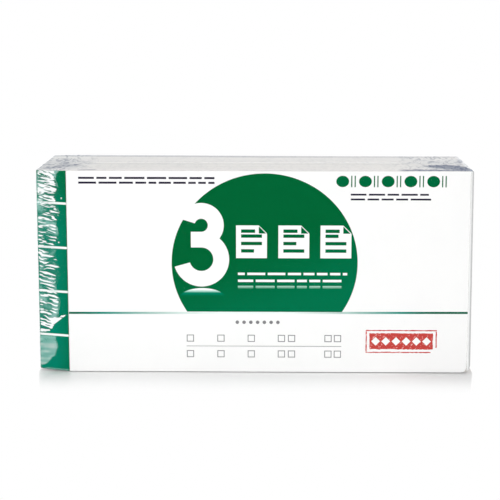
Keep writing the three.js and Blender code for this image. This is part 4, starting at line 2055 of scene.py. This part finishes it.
def rough_box(left: float, low: float, right: float, high: float, shake: float,
              chance: np.random.Generator) -> Outline:
    """A rectangle with an uneven edge.

    Args:
        left: its left edge.
        low: its lower edge.
        right: its right edge.
        high: its upper edge.
        shake: how uneven the edge is.
        chance: where the random numbers come from.

    Returns:
        The outline, counter-clockwise.
    """
    corners = [(left, low), (right, low), (right, high), (left, high)]
    line: Outline = []
    for (x0, z0), (x1, z1) in zip(corners, corners[1:] + corners[:1]):
        steps = max(1, int(math.hypot(x1 - x0, z1 - z0) / 0.9))
        for k in range(steps):
            share = k / steps
            dx, dz = chance.uniform(-shake, shake, 2)
            line.append((x0 + (x1 - x0) * share + dx, z0 + (z1 - z0) * share + dz))
    return line


@dataclass(frozen=True)
class Lamp:
    """One soft rectangular lamp that faces the middle of the pack, with its sizes in metres."""

    name: str
    place: Place
    width: float
    height: float
    power: float
    aim: Place = (0.0, 0.0, 0.045)

    def build(self) -> None:
        """Puts the lamp in its place."""
        data = bpy.data.lights.new(self.name, "AREA")
        data.shape = "RECTANGLE"
        data.size, data.size_y = self.width, self.height
        data.energy = self.power
        lamp = bpy.data.objects.new(self.name, data)
        lamp.location = self.place
        towards = Vector(self.aim) - lamp.location
        lamp.rotation_euler = towards.to_track_quat("-Z", "Y").to_euler()
        bpy.context.scene.collection.objects.link(lamp)


@dataclass
class Studio:
    """The floor, the lights, the surroundings and the camera."""

    focal_pixels: float = 1515.2
    picture_width: float = 500.0
    sensor_width: float = 36.0
    eye: Place = (9.32, -687.54, 168.02)
    pitch: float = 9.735
    yaw: float = 0.975
    lamps: tuple[Lamp, ...] = (
        Lamp("front_left_softbox", (-0.62, -1.64, 0.42), 0.78, 0.62, 10.7),
        Lamp("front_right_fill", (0.95, -1.45, 0.14), 0.60, 0.50, 5.9),
        Lamp("overhead_softbox", (0.20, 0.30, 1.30), 1.3, 1.0, 11.8),
    )
    world_strength: float = 0.42
    floor_reach: float = 3000.0
    floor_z: float = -0.2
    floor_pale: Colour = (0.97, 0.97, 0.97, 1.0)
    floor_shaded: Colour = (0.75, 0.75, 0.75, 1.0)
    floor_gloss: float = 0.10
    floor_roughness: float = 0.12
    shaded_from_x: float = 55.0
    shaded_to_x: float = 96.0
    shadow_reach: float = 36.5
    shadow_half_width: float = 96.3
    shadow_half_depth: float = 30.0
    shadow_centre_x: float = 0.5
    shadow_narrowing: float = 0.15
    shadow_end_steepness: float = 60.0
    weaker_from_x: float = -88.0
    weaker_to_x: float = -96.0
    weaker_share: float = 0.3

    def camera(self) -> None:
        """A camera at the photo's place."""
        data = bpy.data.cameras.new("photo_camera")
        data.sensor_width = self.sensor_width
        data.lens = self.focal_pixels / self.picture_width * data.sensor_width
        data.clip_start = 0.01
        eye = bpy.data.objects.new("photo_camera", data)
        eye.location = [value * MM for value in self.eye]
        eye.rotation_euler = (math.radians(90 - self.pitch), 0.0, math.radians(self.yaw))
        bpy.context.scene.collection.objects.link(eye)
        bpy.context.scene.camera = eye

    def world(self) -> None:
        """White surroundings to the eye and in reflections, and dim ones as a light."""
        world = bpy.data.worlds.new("studio")
        world.use_nodes = True
        air = Wiring(world.node_tree)
        air.tree.nodes.clear()
        light, white = (
            air.node("ShaderNodeBackground", None, Color=PLAIN_WHITE, Strength=strength).outputs[0]
            for strength in (self.world_strength, 1.0)
        )
        air.node("ShaderNodeOutputWorld", None, Surface=air.mixed(air.seen(), light, white))
        bpy.context.scene.world = world

    def beyond_shadow(self, recipe: Recipe) -> Socket:
        """How far a place on the floor is out of the pack's shadow.

        Args:
            recipe: the floor's material.

        Returns:
            0 under the pack, 1 where the shadow has ended.
        """
        _, x, y, _ = recipe.place()
        ahead = recipe.math("SUBTRACT", recipe.math("ABSOLUTE", y), self.shadow_half_depth * MM)
        ahead = recipe.math("MAXIMUM", ahead, 0.0)
        wide = recipe.math("MULTIPLY_ADD", ahead, -self.shadow_narrowing,
                           self.shadow_half_width * MM)
        beside = recipe.math(
            "ABSOLUTE", recipe.math("SUBTRACT", x, self.shadow_centre_x * MM))
        beside = recipe.math("MAXIMUM", recipe.math("SUBTRACT", beside, wide), 0.0)
        beside = recipe.times(beside, self.shadow_end_steepness)
        away = recipe.math("SQRT", recipe.math("ADD", recipe.times(beside, beside),
                                               recipe.times(ahead, ahead)))
        # Painted light: the shadow is painted lighter towards the pack's left end.
        weaker = recipe.step(x, self.weaker_from_x * MM, self.weaker_to_x * MM)
        lifted = recipe.times(weaker, self.weaker_share)
        return recipe.math("MAXIMUM", recipe.step(away, 0.0, self.shadow_reach * MM), lifted)

    def floor(self) -> None:
        """A white floor that keeps the pack's soft shadow and fades into the background."""
        recipe = Recipe("white_floor")
        # Painted shadow: the floor is painted darker towards the pack's right end.
        shade = recipe.step(recipe.place()[1], self.shaded_from_x * MM, self.shaded_to_x * MM)
        colour = recipe.blend(shade, self.floor_pale, self.floor_shaded)
        plain = recipe.shader("ShaderNodeBsdfDiffuse", Color=colour)
        sheen = recipe.shader(
            "ShaderNodeBsdfGlossy", Color=PLAIN_WHITE, Roughness=self.floor_roughness)
        near = recipe.mixed(self.floor_gloss, plain, sheen)
        bright = recipe.shader("ShaderNodeEmission", Color=PLAIN_WHITE)
        far = recipe.times(self.beyond_shadow(recipe), recipe.seen())
        finish = recipe.finish(recipe.mixed(far, near, bright))
        reach = self.floor_reach
        corners = ((-reach, -reach), (reach, -reach), (reach, reach), (-reach, reach))
        points = np.array([(x, y, self.floor_z) for x, y in corners])
        add_mesh("floor", points, [[0, 1, 2, 3]], finish)

    def build(self) -> None:
        """Sets up everything that isn't part of the pack."""
        bpy.context.scene.view_settings.view_transform = "Standard"
        self.camera()
        for lamp in self.lamps:
            lamp.build()
        self.world()
        self.floor()


def dress_nodes(names: Iterable[str], finish: bpy.types.Material) -> None:
    """Gives solids that stay as they are a better finish.

    Args:
        names: the solids.
        finish: their material.
    """
    for name in names:
        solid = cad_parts[name]
        if solid.material_slots:
            solid.material_slots[0].material = finish
        else:
            solid.data.materials.append(finish)
        LOG.info("%s: dressed as %s", name, finish.name)


def main() -> None:
    """Builds the pack's looks, piece by piece."""
    logging.basicConfig(level=logging.INFO, format="%(name)s: %(message)s")
    Studio().build()
    finishes = Finishes()
    film = ShrinkFilm()
    film.wrap(finishes.film)
    film.flap(finishes.film)
    leaves = LeafStack(finishes)
    for index in range(PACK.books):
        BookCover(index).build(finishes)
        leaves.build(index)
    dress_nodes(["book_01_front_cover"], finishes.card)
    for copy in Copy:
        dress_nodes([f"book_01_{copy.name.lower()}_leaf"], finishes.paper[copy])
    dress_nodes([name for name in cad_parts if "_staple_" in name], finishes.steel)
    CoverPrint(finishes).build()
    form = ReceiptForm()
    for order, (name, body, slot) in enumerate((
        ("white_leaf_form", Body.WHITE_LEAF, Slot.WHITE),
        ("pink_leaf_form", Body.PINK_LEAF, Slot.PINK),
        ("yellow_leaf_form", Body.YELLOW_LEAF, Slot.YELLOW),
        ("next_leaf_form", Body.STACK, Slot.WHITE),
    )):
        face_y = PACK.stack_front + PACK.leaf_start + order * PACK.leaf_pitch
        form.build(name, face_y, body, slot, finishes.form_ink)


if __name__ == "__main__":
    main()
